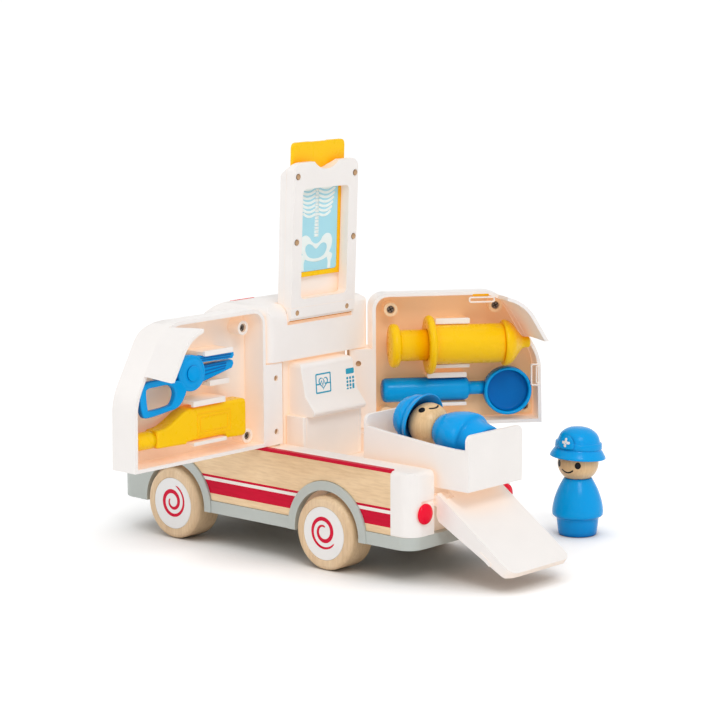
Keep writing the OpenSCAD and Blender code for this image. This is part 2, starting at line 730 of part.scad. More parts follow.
module xray_slide() {
  grip = concat(
    [[-slide_hw, 0], [slide_hw, 0]],
    arc(slide_hw - 3, slide_len - 3, 3, 0, 90, 4),
    [[8, slide_len], [5, slide_len - 1.6], [-5, slide_len - 1.6], [-8, slide_len]],
    arc(-slide_hw + 3, slide_len - 3, 3, 90, 180, 4)
  );
  color([1, 0.78, 0]) lid_place() translate([-lid_slot_in + run_fit, 0, slide_z]) difference() {
    yz_plate(grip, 0, slide_t);
    yz_plate(round_rect(-slide_hw + 4.6, slide_hw - 4.6, 3, 62, 2, 4), -1, 0.8);
  }
}
module xray_film() {
  color([0.66, 0.86, 0.9]) lid_place() translate([-lid_slot_in + run_fit, 0, slide_z])
    yz_plate(round_rect(-slide_hw + 4.7, slide_hw - 4.7, 3.1, 61.9, 1.9, 4), 0.2, 0.8);
}

// Tailgate ramp, drawn flat to the rear around its hinge axis.
module ramp_place() {
  translate([ramp_axis_x, 0, ramp_axis_z]) rotate([0, -ramp_slope, 0]) children();
}
module ramp_panel() {
  side = [
    [1.9, ramp_top], [-5.4, ramp_top - ramp_d0 + 1.8], [-8.5, ramp_top - ramp_d0],
    [-ramp_len + 3, ramp_top - ramp_d1], [-ramp_len, ramp_top - ramp_d1 + 2.4], [-ramp_len, ramp_top]
  ];
  plan = concat(
    [[6, -ramp_hw], [6, ramp_hw]],
    arc(-ramp_len + 6, ramp_hw - 6, 6, 90, 180, 5),
    arc(-ramp_len + 6, -ramp_hw + 6, 6, 180, 270, 5)
  );
  color([0.96, 0.94, 0.92]) ramp_place() difference() {
    union() {
      intersection() {
        xz_plate(side, -ramp_hw, ramp_hw);
        xy_plate(plan, -30, 30);
      }
      both_sides() y_rod(0, 0, 3.2, 25.6, ramp_hw);
      both_sides() box(-52, -42, ramp_hw - 0.1, ramp_hw + 0.3, -3.6, -1.2);
    }
    difference() {
      xz_plate([
        [10, ramp_top - 2.6], [-ramp_len + 2.4, ramp_top - 2.6],
        [-ramp_len + 2.4, -30], [10, -30]
      ], -25.5, 25.5);
      for (x = [-20, -40]) box(x - 0.8, x + 0.8, -30, 30, ramp_top - 5, 30);
    }
    both_sides() y_rod(0, 0, 3.5, 17.5, 25.5);
    both_sides() box(-3.6, 6, 17.5, 24.5, 0, 10);
    y_rod(0, 0, ramp_pin_r + run_fit, -60, 60);
  }
}
module ramp_hinge_pin() {
  color([0.6, 0.6, 0.62]) y_rod(ramp_axis_x, ramp_axis_z, ramp_pin_r, -27.6, 27.6);
}

// Stretcher tray with a raised footboard and headboard.
module bed_tray() {
  foot = concat(
    [[-bed_hw, bed_z], [bed_hw, bed_z]],
    arc(bed_hw - 4, bed_foot_z - 4, 4, 0, 90, 5),
    arc(-bed_hw + 4, bed_foot_z - 4, 4, 90, 180, 5)
  );
  head = concat(
    [[-bed_hw, bed_z], [bed_hw, bed_z]],
    arc(bed_hw - 4, bed_head_z - 4, 4, 0, 90, 5),
    arc(-bed_hw + 4, bed_head_z - 4, 4, 90, 180, 5)
  );
  color([0.97, 0.96, 0.95]) union() {
    box(bed_x, bed_head_x, -bed_hw, bed_hw, bed_top - bed_floor, bed_top);
    xz_plate([
      [pillow_x, bed_top - 1], [bed_head_x - 1, bed_top - 1], [bed_head_x - 1, pillow_z],
      [pillow_x + 6, pillow_z], [pillow_x, bed_top + 0.1]
    ], -bed_hw + 1, bed_hw - 1);
    both_sides() box(bed_x, bed_head_x, bed_hw - bed_wall, bed_hw, bed_z, bed_wall_z);
    yz_plate(foot, bed_x, bed_x + bed_wall);
    yz_plate(head, bed_head_x - bed_wall, bed_head_x);
  }
}

// Dolls: turned body, ball head and a brimmed hat.
neck_z = 37;
module doll_body() {
  rotate_extrude($fn = 72) polygon(concat(
    [[0, 0], [doll_foot_r - 0.8, 0], [doll_foot_r, 0.8], [doll_foot_r + 1.2, 11.6], [doll_r - 0.8, 12.2]],
    arc(doll_r - 1.4, 13.8, 1.4, -50, 10, 3),
    [[doll_r - 0.1, 16.5], [doll_r - 0.9, 21], [doll_r - 2.7, 26.5], [doll_r - 5, 31.6]],
    [[8.9, 35.6], [8.2, neck_z - 0.3]],
    [[0, neck_z - 0.3]]
  ));
}
module doll_head() {
  rotate_extrude($fn = 72) polygon(concat(
    [[0, neck_z - 0.2], [8, neck_z - 0.2]],
    [for (a = [-48 : 12 : 72]) [doll_head_r * cos(a), 46 + 12 * sin(a)]],
    [[0, 46 + 12 * sin(72)]]
  ));
}
module doll_hat() {
  rotate_extrude($fn = 72) polygon(concat(
    [[doll_head_r + 0.3, 52.4], [doll_brim_r - 0.5, 49.9], [doll_brim_r, 50.6], [15.2, 56.4], [14.6, 58]],
    [[14.7, 61.4], [13.9, 61.8]],
    [for (a = [12 : 13 : 90]) [13.9 * cos(a), 60 + (doll_h - 60) * sin(a)]],
    [[0, doll_h], [0, 46 + 12 * sin(72) + 0.1], [4.4, 46 + 12 * sin(72) + 0.1]],
    [for (a = [66 : -8 : 34]) [(doll_head_r + 0.25) * cos(a), 46 + 12.25 * sin(a)]]
  ));
}
module medic_place() {
  translate([medic_x, medic_y, 0]) children();
}
module patient_place() {
  translate([patient_x, 1, patient_z]) rotate([0, 90 - patient_tilt, 0]) children();
}
module medic_body() {
  color([0, 0.55, 0.86]) medic_place() doll_body();
}
module medic_head() {
  color([0.9, 0.78, 0.6]) medic_place() doll_head();
}
module medic_hat() {
  color([0, 0.55, 0.86]) medic_place() doll_hat();
}
module patient_body() {
  color([0, 0.55, 0.86]) patient_place() doll_body();
}
module patient_head() {
  color([0.9, 0.78, 0.6]) patient_place() doll_head();
}
module patient_hat() {
  color([0, 0.55, 0.86]) patient_place() doll_hat();
}

// Tools, drawn closed on the left side like their cabinets.
scissor_y = face_y + 1;
module rivet_hole(r, y0, y1) {
  y_rod(sx(scissor_s), scissor_z, r, y0, y1);
}
module scissor_half_a() {
  y0 = scissor_y;
  y1 = scissor_y + scissor_t;
  color([0, 0.55, 0.86]) left_place() difference() {
    union() {
      rivet_hole(10.8, y0, y1);
      xz_plate([
        [sx(scissor_s - 4), scissor_z + 8], [sx(scissor_s - 34.6), scissor_z + 8.6],
        [sx(scissor_s - 36), scissor_z + 6.6], [sx(scissor_s - 34), scissor_z + 4.4],
        [sx(scissor_s - 6), scissor_z - 4]
      ], y0, y1);
      xz_plate([for (p = [
        [3, -9], [6.4, -13.7], [11.4, -18.7], [20, -20.3], [35.7, -21.9], [39.8, -20.8],
        [42.3, -11.9], [41.8, -7.9], [38.5, -1.2], [28, -0.8], [14, -2.8], [8, -5]
      ]) [sx(scissor_s + p[0]), scissor_z + p[1]]], y0, y1);
    }
    xz_plate([for (p = [
      [13.9, -10.7], [16.9, -16.2], [20, -17], [34.9, -17.8], [35.6, -16.6],
      [36.9, -6.2], [36.2, -5], [30, -4.6], [19.4, -4.5], [15.4, -6.9]
    ]) [sx(scissor_s + p[0]), scissor_z + p[1]]], y0 - 1, y1 + 1);
    rivet_hole(3, y0 - 1, y1 + 1);
  }
}
module scissor_half_b() {
  y0 = scissor_y + scissor_t + 0.3;
  y1 = y0 + scissor_t;
  color([0, 0.52, 0.83]) left_place() difference() {
    union() {
      rivet_hole(10.2, y0, y1);
      xz_plate([
        [sx(scissor_s - 6), scissor_z + 3], [sx(scissor_s - 33.4), scissor_z + 3.2],
        [sx(scissor_s - 35.1), scissor_z + 0.5], [sx(scissor_s - 34), scissor_z - 2.4],
        [sx(scissor_s - 5), scissor_z - 8.8]
      ], y0, y1);
      xz_plate([for (p = [
        [2, 8], [7.4, 13.8], [18, 15], [26.6, 13.4], [27.4, 3], [23, -2], [10, -1], [4, -2]
      ]) [sx(scissor_s + p[0]), scissor_z + p[1]]], y0, y1);
    }
    xz_plate([for (p = [[10.5, 3.4], [11.4, 10.6], [18, 11.6], [23.6, 10.6], [24.4, 3.4], [21, 1.6]])
      [sx(scissor_s + p[0]), scissor_z + p[1]]], y0 - 1, y1 + 1);
    rivet_hole(3 + run_fit, y0 - 1, y1 + 1);
  }
}
module scissor_rivet() {
  color([0, 0.5, 0.82]) left_place() {
    rivet_hole(3, scissor_y - 0.4, scissor_y + 2 * scissor_t + 0.4);
    rivet_hole(4.6, scissor_y - 1, scissor_y - 0.05);
    rivet_hole(4.6, scissor_y + 2 * scissor_t + 0.4, scissor_y + 2 * scissor_t + 1.2);
  }
}
thermo_y = face_y + 0.8;
module thermometer_body() {
  pts = concat(
    arc(sx(32.2), 96.6, 2.6, 0, 90, 3),
    [[sx(72), 100.1]],
    [for (i = [0 : 8]) [sx(73.5 + 27 * i / 8), 95.4 + 4.7 * cos(i * 180 / 8)]],
    [[sx(104), 90.4], [sx(104), 79.6], [sx(80), 79], [sx(79), 80.2], [sx(48), 80.2], [sx(47), 78]],
    arc(sx(32.2), 80, 2.6, -90, 0, 3)
  );
  color([1, 0.78, 0]) left_place() difference() {
    xz_plate(pts, thermo_y, thermo_y + thermo_t);
    xz_plate([[sx(44), 95.6], [sx(70), 95.6], [sx(70), 82.4], [sx(44), 82.4]], thermo_y - 1, thermo_y + 0.4);
  }
}
module thermometer_nozzle() {
  color([1, 0.76, 0]) left_place()
    translate([sx(104.05), thermo_y + thermo_t / 2, 84.9]) rotate([0, -90, 0]) rotate_extrude($fn = 48)
      polygon([[0, 0], [5.3, 0], [5.2, 13], [4.6, 14.6], [0, 14.6]]);
}
module syringe_place() {
  translate([sx(0), syringe_y, syringe_z]) rotate([0, -90, 0]) children();
}
module syringe_barrel() {
  color([1, 0.78, 0]) right_place() syringe_place() rotate_extrude($fn = 72) polygon([
    [syringe_rod_r + 0.3, 47], [syringe_flange_r - 0.8, 47], [syringe_flange_r, 47.8],
    [syringe_flange_r, 51.2], [syringe_flange_r - 0.8, 52], [syringe_r, 52.4], [syringe_r, 96],
    [syringe_rod_r + 0.3, 96]
  ]);
}
module syringe_nose() {
  color([1, 0.77, 0]) right_place() syringe_place() rotate_extrude($fn = 72) polygon([
    [0, 96.05], [14.4, 96.05], [14.6, 97], [14.4, 99.6], [13, 101.6], [5, 108],
    [3.5, 109.2], [3.5, 113], [2.9, 113.8], [0, 113.8]
  ]);
}
module syringe_plunger() {
  color([1, 0.79, 0]) right_place() syringe_place() rotate_extrude($fn = 72) polygon([
    [0, 23.6], [12.8, 23.6], [13.8, 24.6], [13.8, 28.6], [12.8, 29.8],
    [syringe_rod_r, 30.2], [syringe_rod_r, 78], [0, 78]
  ]);
}
module mirror_handle() {
  color([0, 0.55, 0.86]) right_place() translate([sx(0), mirror_y, mirror_z]) rotate([0, -90, 0])
    rotate_extrude($fn = 64) polygon([
      [0, 20.4], [mirror_r - 1.4, 20.4], [mirror_r, 22.4], [mirror_r, 73.4],
      [mirror_r - 1.6, 75.8], [4.4, 76.4], [4.4, 86.6], [0, 86.6]
    ]);
}
module mirror_dish() {
  color([0, 0.53, 0.84]) right_place() difference() {
    translate([sx(101), mirror_y + 3.6, mirror_z - 1.8]) rotate([90, 0, 0])
    rotate_extrude($fn = 72) polygon([
      [0, 0], [mirror_dish_r - 2, 0], [mirror_dish_r, 2], [mirror_dish_r, 9.4], [mirror_dish_r - 0.6, 10],
      [mirror_dish_r - 2, 10], [mirror_dish_r - 2.4, 9.4], [mirror_dish_r - 2.6, 4], [0, 4]
    ]);
    translate([sx(0), mirror_y, mirror_z]) rotate([0, -90, 0])
      cylinder(r = 4.4 + seam, h = 86.7, $fn = 64);
  }
}

// Rolling pieces.
module wheel_solid() {
  rotate([-90, 0, 0]) rotate_extrude($fn = 96) polygon(concat(
    [[axle_r, wheel_in_y], [wheel_r - 2, wheel_in_y], [wheel_r, wheel_in_y + 2]],
    arc(wheel_r - wheel_edge_r, wheel_face_y - wheel_edge_r, wheel_edge_r, 0, 90, 5),
    [[hub_disc_r + seam, wheel_face_y], [hub_disc_r + seam, wheel_face_y - hub_disc_t]],
    [[axle_r, wheel_face_y - hub_disc_t]]
  ));
}
module disc_solid() {
  translate([0, wheel_face_y - hub_disc_t + 0.02, 0]) rotate([-90, 0, 0])
    cylinder(r = hub_disc_r, h = hub_disc_t - 0.1, $fn = 96);
}
module axle_rod(x) {
  y_rod(x, wheel_r, axle_r, -wheel_face_y + hub_disc_t + 0.1, wheel_face_y - hub_disc_t - 0.1);
}
module front_axle() {
  color([0.6, 0.6, 0.62]) axle_rod(front_x);
}
module rear_axle() {
  color([0.6, 0.6, 0.62]) axle_rod(back_x);
}
module front_left_wheel() {
  color([0.86, 0.74, 0.56]) translate([front_x, 0, wheel_r]) wheel_solid();
}
module front_right_wheel() {
  color([0.86, 0.74, 0.56]) translate([front_x, 0, wheel_r]) mirror([0, 1, 0]) wheel_solid();
}
module rear_left_wheel() {
  color([0.86, 0.74, 0.56]) translate([back_x, 0, wheel_r]) wheel_solid();
}
module rear_right_wheel() {
  color([0.86, 0.74, 0.56]) translate([back_x, 0, wheel_r]) mirror([0, 1, 0]) wheel_solid();
}
module front_left_disc() {
  color([0.97, 0.97, 0.97]) translate([front_x, 0, wheel_r]) disc_solid();
}
module front_right_disc() {
  color([0.97, 0.97, 0.97]) translate([front_x, 0, wheel_r]) mirror([0, 1, 0]) disc_solid();
}
module rear_left_disc() {
  color([0.97, 0.97, 0.97]) translate([back_x, 0, wheel_r]) disc_solid();
}
module rear_right_disc() {
  color([0.97, 0.97, 0.97]) translate([back_x, 0, wheel_r]) mirror([0, 1, 0]) disc_solid();
}

chassis_base();
body_tub();
left_side_panel();
right_side_panel();
tail_light_left();
tail_light_right();
head_light_left();
head_light_right();
cab_shell();
cab_bulkhead();
monitor_console();
windscreen();
left_cab_window();
right_cab_window();
lid_hinge_pin();
left_hinge_pin();
right_hinge_pin();
ramp_hinge_pin();
chassis_screws();
left_shell();
left_tool_board();
left_board_screws();
right_shell();
right_tool_board();
right_board_screws();
roof_lid();
lid_frame();
lid_screws();
xray_slide();
xray_film();
ramp_panel();
bed_tray();
patient_body();
patient_head();
patient_hat();
medic_body();
medic_head();
medic_hat();
scissor_half_a();
scissor_half_b();
scissor_rivet();
thermometer_body();
thermometer_nozzle();
syringe_barrel();
syringe_nose();
syringe_plunger();
mirror_handle();
mirror_dish();
front_axle();
rear_axle();
front_left_wheel();
front_right_wheel();
rear_left_wheel();
rear_right_wheel();
front_left_disc();
front_right_disc();
rear_left_disc();
rear_right_disc();
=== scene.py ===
"""Toy ambulance: its looks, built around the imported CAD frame.

Shapes are drawn in millimetres, in the frame of the piece that they sit on; link() brings them to metres.
Materials and lamps work in metres.
"""
import bpy
import bmesh
import json
import math
from mathutils import Matrix, Vector


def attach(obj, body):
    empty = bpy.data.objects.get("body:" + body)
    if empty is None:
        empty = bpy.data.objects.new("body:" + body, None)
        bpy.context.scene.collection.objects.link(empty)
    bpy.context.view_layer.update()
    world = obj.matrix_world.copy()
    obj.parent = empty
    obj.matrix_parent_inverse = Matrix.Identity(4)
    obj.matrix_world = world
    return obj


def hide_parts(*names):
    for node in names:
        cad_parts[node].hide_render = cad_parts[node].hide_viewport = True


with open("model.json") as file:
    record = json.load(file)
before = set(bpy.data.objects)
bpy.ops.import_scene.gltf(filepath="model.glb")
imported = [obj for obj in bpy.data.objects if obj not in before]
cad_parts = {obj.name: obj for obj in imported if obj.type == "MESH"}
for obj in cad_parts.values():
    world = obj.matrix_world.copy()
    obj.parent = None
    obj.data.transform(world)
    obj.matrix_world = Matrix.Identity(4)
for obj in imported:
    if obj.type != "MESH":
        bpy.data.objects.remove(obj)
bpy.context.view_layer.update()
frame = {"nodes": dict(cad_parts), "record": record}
cad_nodes = frame["nodes"]
scene = bpy.context.scene
pi = math.pi
MM = 0.001


# ---------------------------------------------------------------- places
HINGE_X, HINGE_Y = -14.2, 33.5       # the cabinets' pins, the right one at -HINGE_Y
RIGHT_SWING = math.radians(51)       # right cabinet: 0 is straight back, 90 degrees straight out
LID_AXIS, LID_LEAN = (-17, 0, 147.6), math.radians(2.5)


def frame_of(origin, ex, ey, ez):
    """Matrix that puts the axes ex, ey, ez at origin."""
    m = Matrix((ex, ey, ez)).transposed().to_4x4()
    m.translation = Vector(origin)
    return m


def moved(M, *offset):
    return M @ Matrix.Translation(offset)


def polar(r, a):
    return r * math.cos(a), r * math.sin(a)


# Cabinets: u along the board, away from the pin on the right one and minus that on the left one,
# v up, w minus the distance from the mid plane when shut.
LEFT = frame_of((HINGE_X - HINGE_Y, HINGE_Y, 0), (0, -1, 0), (0, 0, 1), (-1, 0, 0))
ALONG = (-math.cos(RIGHT_SWING), -math.sin(RIGHT_SWING), 0)
INWARD = (-math.sin(RIGHT_SWING), math.cos(RIGHT_SWING), 0)
RIGHT = frame_of((HINGE_X + HINGE_Y * INWARD[0], -HINGE_Y + HINGE_Y * INWARD[1], 0), ALONG, (0, 0, 1), INWARD)
# Lid: u to the right, v from its axis to its free end, w out of the window.
LID = frame_of(LID_AXIS, (0, -1, 0), (-math.sin(LID_LEAN), 0, math.cos(LID_LEAN)),
               (-math.cos(LID_LEAN), 0, -math.sin(LID_LEAN)))


# ---------------------------------------------------------------- outlines
def spline(pts, n=8):
    """Smooth closed curve through pts, n points to a span."""
    k = len(pts)
    out = []
    for i in range(k):
        a, b, c, d = (Vector(pts[j % k]) for j in range(i - 1, i + 3))
        for j in range(n):
            t = j / n
            out.append(0.5 * ((2 * b) + (c - a) * t + (2 * a - 5 * b + 4 * c - d) * t * t
                              + (3 * b - a - 3 * c + d) * t ** 3))
    return [tuple(v) for v in out]


def arc(cx, cy, r, a0, a1, n):
    turns = [polar(r, math.radians(a0 + (a1 - a0) * i / n)) for i in range(n + 1)]
    return [(cx + x, cy + y) for x, y in turns]


def rrect(x0, x1, y0, y1, r, n=6):
    """Rectangle with rounded corners."""
    middles = ((x1 - r, y1 - r), (x0 + r, y1 - r), (x0 + r, y0 + r), (x1 - r, y0 + r))
    return [p for k, (cx, cy) in enumerate(middles) for p in arc(cx, cy, r, 90 * k, 90 * k + 90, n)]


def oval(cx, cy, rx, ry, n=32):
    return [(cx + rx * math.cos(2 * pi * i / n), cy + ry * math.sin(2 * pi * i / n)) for i in range(n)]


def normals(P):
    """Unit normal at each point of an open line."""
    last = len(P) - 1
    out = []
    for i in range(len(P)):
        t = (P[min(i + 1, last)] - P[max(i - 1, 0)]).normalized()
        out.append(Vector((-t.y, t.x)))
    return out


def stroke(pts, w):
    """Outline of a round-ended line of width w."""
    P = [Vector(p) for p in pts]
    nr = normals(P)
    left = [p + n * w / 2 for p, n in zip(P, nr)]
    right = [p - n * w / 2 for p, n in zip(P, nr)]

    def cap(c, n):
        a = math.atan2(n.y, n.x)
        return [c + Vector(polar(1, a - pi * k / 8)) * w / 2 for k in range(1, 8)]

    return [tuple(v) for v in left + cap(P[-1], nr[-1]) + right[::-1] + cap(P[0], -nr[0])]


# ---------------------------------------------------------------- meshes
def link(name, me, mat, body, M=None, smooth=True):
    """Bring a mesh drawn in millimetres into the scene, on the body that it rides on."""
    o = bpy.data.objects.new(name, me)
    scene.collection.objects.link(o)
    me.transform(Matrix.Scale(MM, 4) @ (M or Matrix.Identity(4)))
    for p in me.polygons:
        p.use_smooth = smooth
    me.materials.append(mat)
    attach(o, body)
    return o


def link_bmesh(bm, name, mat, body, M=None, smooth=True):
    bmesh.ops.recalc_face_normals(bm, faces=bm.faces)
    me = bpy.data.meshes.new(name)
    bm.to_mesh(me)
    bm.free()
    return link(name, me, mat, body, M, smooth)


def weighted(o):
    """Shade flat faces flat and only the rounded edges smooth."""
    m = o.modifiers.new("wn", "WEIGHTED_NORMAL")
    m.weight = 60
    m.keep_sharp = False
    return o


def lathe(name, prof, mat, body, M, seg=96):
    """Turned piece: prof is a list of (radius, height), the axis is local z."""
    bm = bmesh.new()
    rings = []
    for r, z in prof:
        turns = [2 * pi * i / seg for i in range(seg)] if r else [0]
        rings.append([bm.verts.new((*polar(r, a), z)) for a in turns])
    for a, b in zip(rings, rings[1:]):
        for i in range(seg):
            j = (i + 1) % seg
            q = [a[i % len(a)], a[j % len(a)], b[j % len(b)], b[i % len(b)]]
            q = [v for k, v in enumerate(q) if v not in q[:k]]
            if len(q) > 2:
                bm.faces.new(q)
    return link_bmesh(bm, name, mat, body, M)


def plate(name, loops, z0, z1, mat, body, M, bevel=0.0, res=3):
    """Flat piece with rounded edges from closed outlines, the first outside and the others holes."""
    cu = bpy.data.curves.new(name, "CURVE")
    cu.dimensions = "2D"
    cu.fill_mode = "BOTH"
    cu.extrude = (z1 - z0) / 2 - bevel
    cu.bevel_depth = bevel
    cu.bevel_resolution = res
    cu.offset = -bevel
    for pts in loops:
        sp = cu.splines.new("POLY")
        sp.points.add(len(pts) - 1)
        for p, q in zip(sp.points, pts):
            p.co = (q[0], q[1], 0, 1)
        sp.use_cyclic_u = True
    tmp = bpy.data.objects.new(name + "_c", cu)
    scene.collection.objects.link(tmp)
    me = bpy.data.meshes.new_from_object(tmp.evaluated_get(bpy.context.evaluated_depsgraph_get()))
    me.name = name
    bpy.data.objects.remove(tmp)
    bm = bmesh.new()
    bm.from_mesh(me)
    bmesh.ops.remove_doubles(bm, verts=bm.verts, dist=1e-4)
    bmesh.ops.recalc_face_normals(bm, faces=bm.faces)
    bm.to_mesh(me)
    bm.free()
    return weighted(link(name, me, mat, body, moved(M, 0, 0, (z0 + z1) / 2)))


def ring(name, x0, x1, y0, y1, r, w, z0, z1, mat, body, M):
    """Rounded rectangular frame of width w."""
    loops = [rrect(x0, x1, y0, y1, r), rrect(x0 + w, x1 - w, y0 + w, y1 - w, max(0.2, r - w))]
    return plate(name, loops, z0, z1, mat, body, M, 0.25)


# ---------------------------------------------------------------- shader helpers
MIX_A, MIX_B, MIX_RESULT = 6, 7, 2       # colour sockets of the Mix node


def mat_new(name):
    m = bpy.data.materials.new(name)
    m.use_nodes = True
    t = m.node_tree
    return m, t, t.nodes["Principled BSDF"]


def node(t, kind, **kw):
    n = t.nodes.new(kind)
    for k, v in kw.items():
        if k in n.inputs:
            n.inputs[k].default_value = v
        else:
            setattr(n, k, v)
    return n


def feed(t, socket, v):
    """Give an input a number, a colour or another node's output."""
    if isinstance(v, (int, float)):
        socket.default_value = v
    elif isinstance(v, tuple):
        socket.default_value = (*v, 1)
    else:
        t.links.new(v, socket)


def calc(t, operation, a, b):
    n = node(t, "ShaderNodeMath", operation=operation)
    feed(t, n.inputs[0], a)
    feed(t, n.inputs[1], b)
    return n.outputs[0]


def mix(t, fac, a, b, blend="MIX"):
    n = node(t, "ShaderNodeMix", data_type="RGBA", blend_type=blend)
    feed(t, n.inputs["Factor"], fac)
    feed(t, n.inputs[MIX_A], a)
    feed(t, n.inputs[MIX_B], b)
    return n.outputs[MIX_RESULT]


def ramp(t, fac, stops):
    """Colour ramp; a stop is (position, colour) or (position, grey level)."""
    r = t.nodes.new("ShaderNodeValToRGB")
    e = r.color_ramp.elements
    while len(e) < len(stops):
        e.new(0.5)
    for i, (p, c) in enumerate(stops):
        e[i].position = p
        e[i].color = (*c, 1) if isinstance(c, tuple) else (c, c, c, 1)
    t.links.new(fac, r.inputs["Fac"])
    return r.outputs["Color"]


def coords(t, scale=(1, 1, 1)):
    c = t.nodes.new("ShaderNodeTexCoord")
    m = node(t, "ShaderNodeMapping", Scale=scale)
    t.links.new(c.outputs["Object"], m.inputs["Vector"])
    return m.outputs["Vector"]


def noise(t, v, **kw):
    n = node(t, "ShaderNodeTexNoise", **kw)
    t.links.new(v, n.inputs["Vector"])
    return n.outputs["Fac"]


def bump(t, b, height, strength, distance):
    n = node(t, "ShaderNodeBump", Strength=strength, Distance=distance)
    t.links.new(height, n.inputs["Height"])
    t.links.new(n.outputs["Normal"], b.inputs["Normal"])


def bands(t, val, edges):
    """Mask that is 1 where val lies in one of the (low, high) bands."""
    out = None
    for lo, hi in edges:
        k = calc(t, "MULTIPLY", calc(t, "GREATER_THAN", val, lo), calc(t, "LESS_THAN", val, hi))
        out = k if out is None else calc(t, "MAXIMUM", out, k)
    return out


def seen(t):
    """1 for rays from the camera, in reflections and through clear pieces; 0 for rays that light the object."""
    lp = t.nodes.new("ShaderNodeLightPath")
    out = lp.outputs["Is Camera Ray"]
    for kind in ("Is Glossy Ray", "Is Transmission Ray"):
        out = calc(t, "MAXIMUM", out, lp.outputs[kind])
    return out


# ---------------------------------------------------------------- materials
def plastic(name, col, rough=0.32, vary=0.02, grain=0.05, coat=0.0, spec=0.5):
    """Moulded plastic: slight flow marks in colour, uneven polish and a fine skin."""
    m, t, b = mat_new(name)
    v = coords(t)
    lo = tuple(c * (1 - vary) for c in col)
    hi = tuple(min(1, c * (1 + vary * 0.6)) for c in col)
    flow = noise(t, v, Scale=38.0, Detail=3.0)
    t.links.new(ramp(t, flow, [(0.3, lo), (0.7, hi)]), b.inputs["Base Color"])
    polish = noise(t, v, Scale=240.0, Detail=4.0)
    t.links.new(ramp(t, polish, [(0.35, rough * 0.82), (0.65, rough * 1.2)]), b.inputs["Roughness"])
    bump(t, b, noise(t, v, Scale=1900.0, Detail=2.0), grain, 0.0002)
    b.inputs["Specular IOR Level"].default_value = spec
    b.inputs["Coat Weight"].default_value = coat
    b.inputs["Coat Roughness"].default_value = 0.12
    return m


def paint_hollow_shade_glow(m, hollow_col, dist, hollow_glow, tint):
    """Painted shade and painted glow in hollows and seams: where ambient occlusion finds them, the colour is painted
    over towards the given warm shade colour instead of grey, and the plastic gives off a little light of that
    colour. This stands in for light that bounces between the pieces and shines through the plastic.
    """
    t = m.node_tree
    b = t.nodes["Principled BSDF"]
    ao = node(t, "ShaderNodeAmbientOcclusion", samples=12, Distance=dist).outputs["AO"]
    plain = b.inputs["Base Color"].links[0].from_socket
    t.links.new(mix(t, ramp(t, ao, [(0.25, tint), (0.9, 0.0)]), plain, hollow_col), b.inputs["Base Color"])
    b.inputs["Emission Color"].default_value = (*hollow_col, 1)
    t.links.new(ramp(t, ao, [(0.1, hollow_glow), (0.85, 0.0)]), b.inputs["Emission Strength"])
    return m


def wood_grain(t, axis, tint):
    """Pale close-grained wood along axis: its colour, and its fibres for bump and polish."""
    v = coords(t, {"X": (1, 9, 9), "Z": (9, 9, 1)}[axis])
    growth = noise(t, v, Scale=7.0, Detail=4.0, Distortion=0.6)
    fibre = noise(t, v, Scale=90.0, Detail=6.0, Roughness=0.65)
    shades = ((0.32, (0.68, 0.48, 0.285)), (0.5, (0.76, 0.555, 0.345)), (0.7, (0.80, 0.605, 0.39)))
    band = ramp(t, growth, [(p, tuple(c * tint for c in col)) for p, col in shades])
    streak = ramp(t, fibre, [(0.36, (0.86, 0.82, 0.78)), (0.6, 1.0)])
    return mix(t, 0.8, band, streak, "MULTIPLY"), fibre


def wood(name, tint, rough=0.42, hue=(1, 1, 1)):
    """Turned wood, lightly varnished, with its grain upright."""
    m, t, b = mat_new(name)
    col, fibre = wood_grain(t, "Z", tint)
    t.links.new(mix(t, 1.0, col, hue, "MULTIPLY"), b.inputs["Base Color"])
    t.links.new(ramp(t, fibre, [(0.3, rough * 1.15), (0.7, rough * 0.85)]), b.inputs["Roughness"])
    bump(t, b, fibre, 0.12, 0.0003)
    b.inputs["Coat Weight"].default_value = 0.15
    b.inputs["Coat Roughness"].default_value = 0.2
    return m


PALE_LINE = [(0.0410, 0.0430)]                                           # heights on the side panel, m
RED_LINES = [(0.0329, 0.0410), (0.0430, 0.0445), (0.0654, 0.0676)]


def printed_wood(name):
    """Side panel: wood with its screen-printed stripes, thin enough that the fibres show."""
    m, t, b = mat_new(name)
    col, fibre = wood_grain(t, "X", 1.18)
    place = t.nodes.new("ShaderNodeTexCoord")
    sep = t.nodes.new("ShaderNodeSeparateXYZ")
    t.links.new(place.outputs["Object"], sep.inputs[0])
    z = sep.outputs["Z"]
    ink = ramp(t, fibre, [(0.3, (0.56, 0.001, 0.026)), (0.7, (0.66, 0.002, 0.036))])
    pale = ramp(t, fibre, [(0.3, (0.86, 0.8, 0.74)), (0.7, (0.93, 0.89, 0.85))])
    col = mix(t, bands(t, z, PALE_LINE), col, pale)
    col = mix(t, bands(t, z, RED_LINES), col, ink)
    t.links.new(col, b.inputs["Base Color"])
    b.inputs["Roughness"].default_value = 0.4
    bump(t, b, fibre, 0.1, 0.0003)
    b.inputs["Specular IOR Level"].default_value = 0.12
    return m


# White plastic with painted warm shade and a painted glow in its hollows and seams.
WHITE = paint_hollow_shade_glow(plastic("white_plastic", (0.92, 0.885, 0.86), 0.38, grain=0.02, spec=0.3),
             (0.95, 0.71, 0.52), 0.03, 0.17, 0.5)
# Warmer white for the inside pieces: painted warm light bounced from the yellow tools and through the plastic, with
# painted shade and glow in its hollows.
INNER = paint_hollow_shade_glow(plastic("inner_plastic", (0.92, 0.855, 0.80), 0.42, grain=0.02, spec=0.25),
             (0.95, 0.66, 0.44), 0.024, 0.2, 0.62)
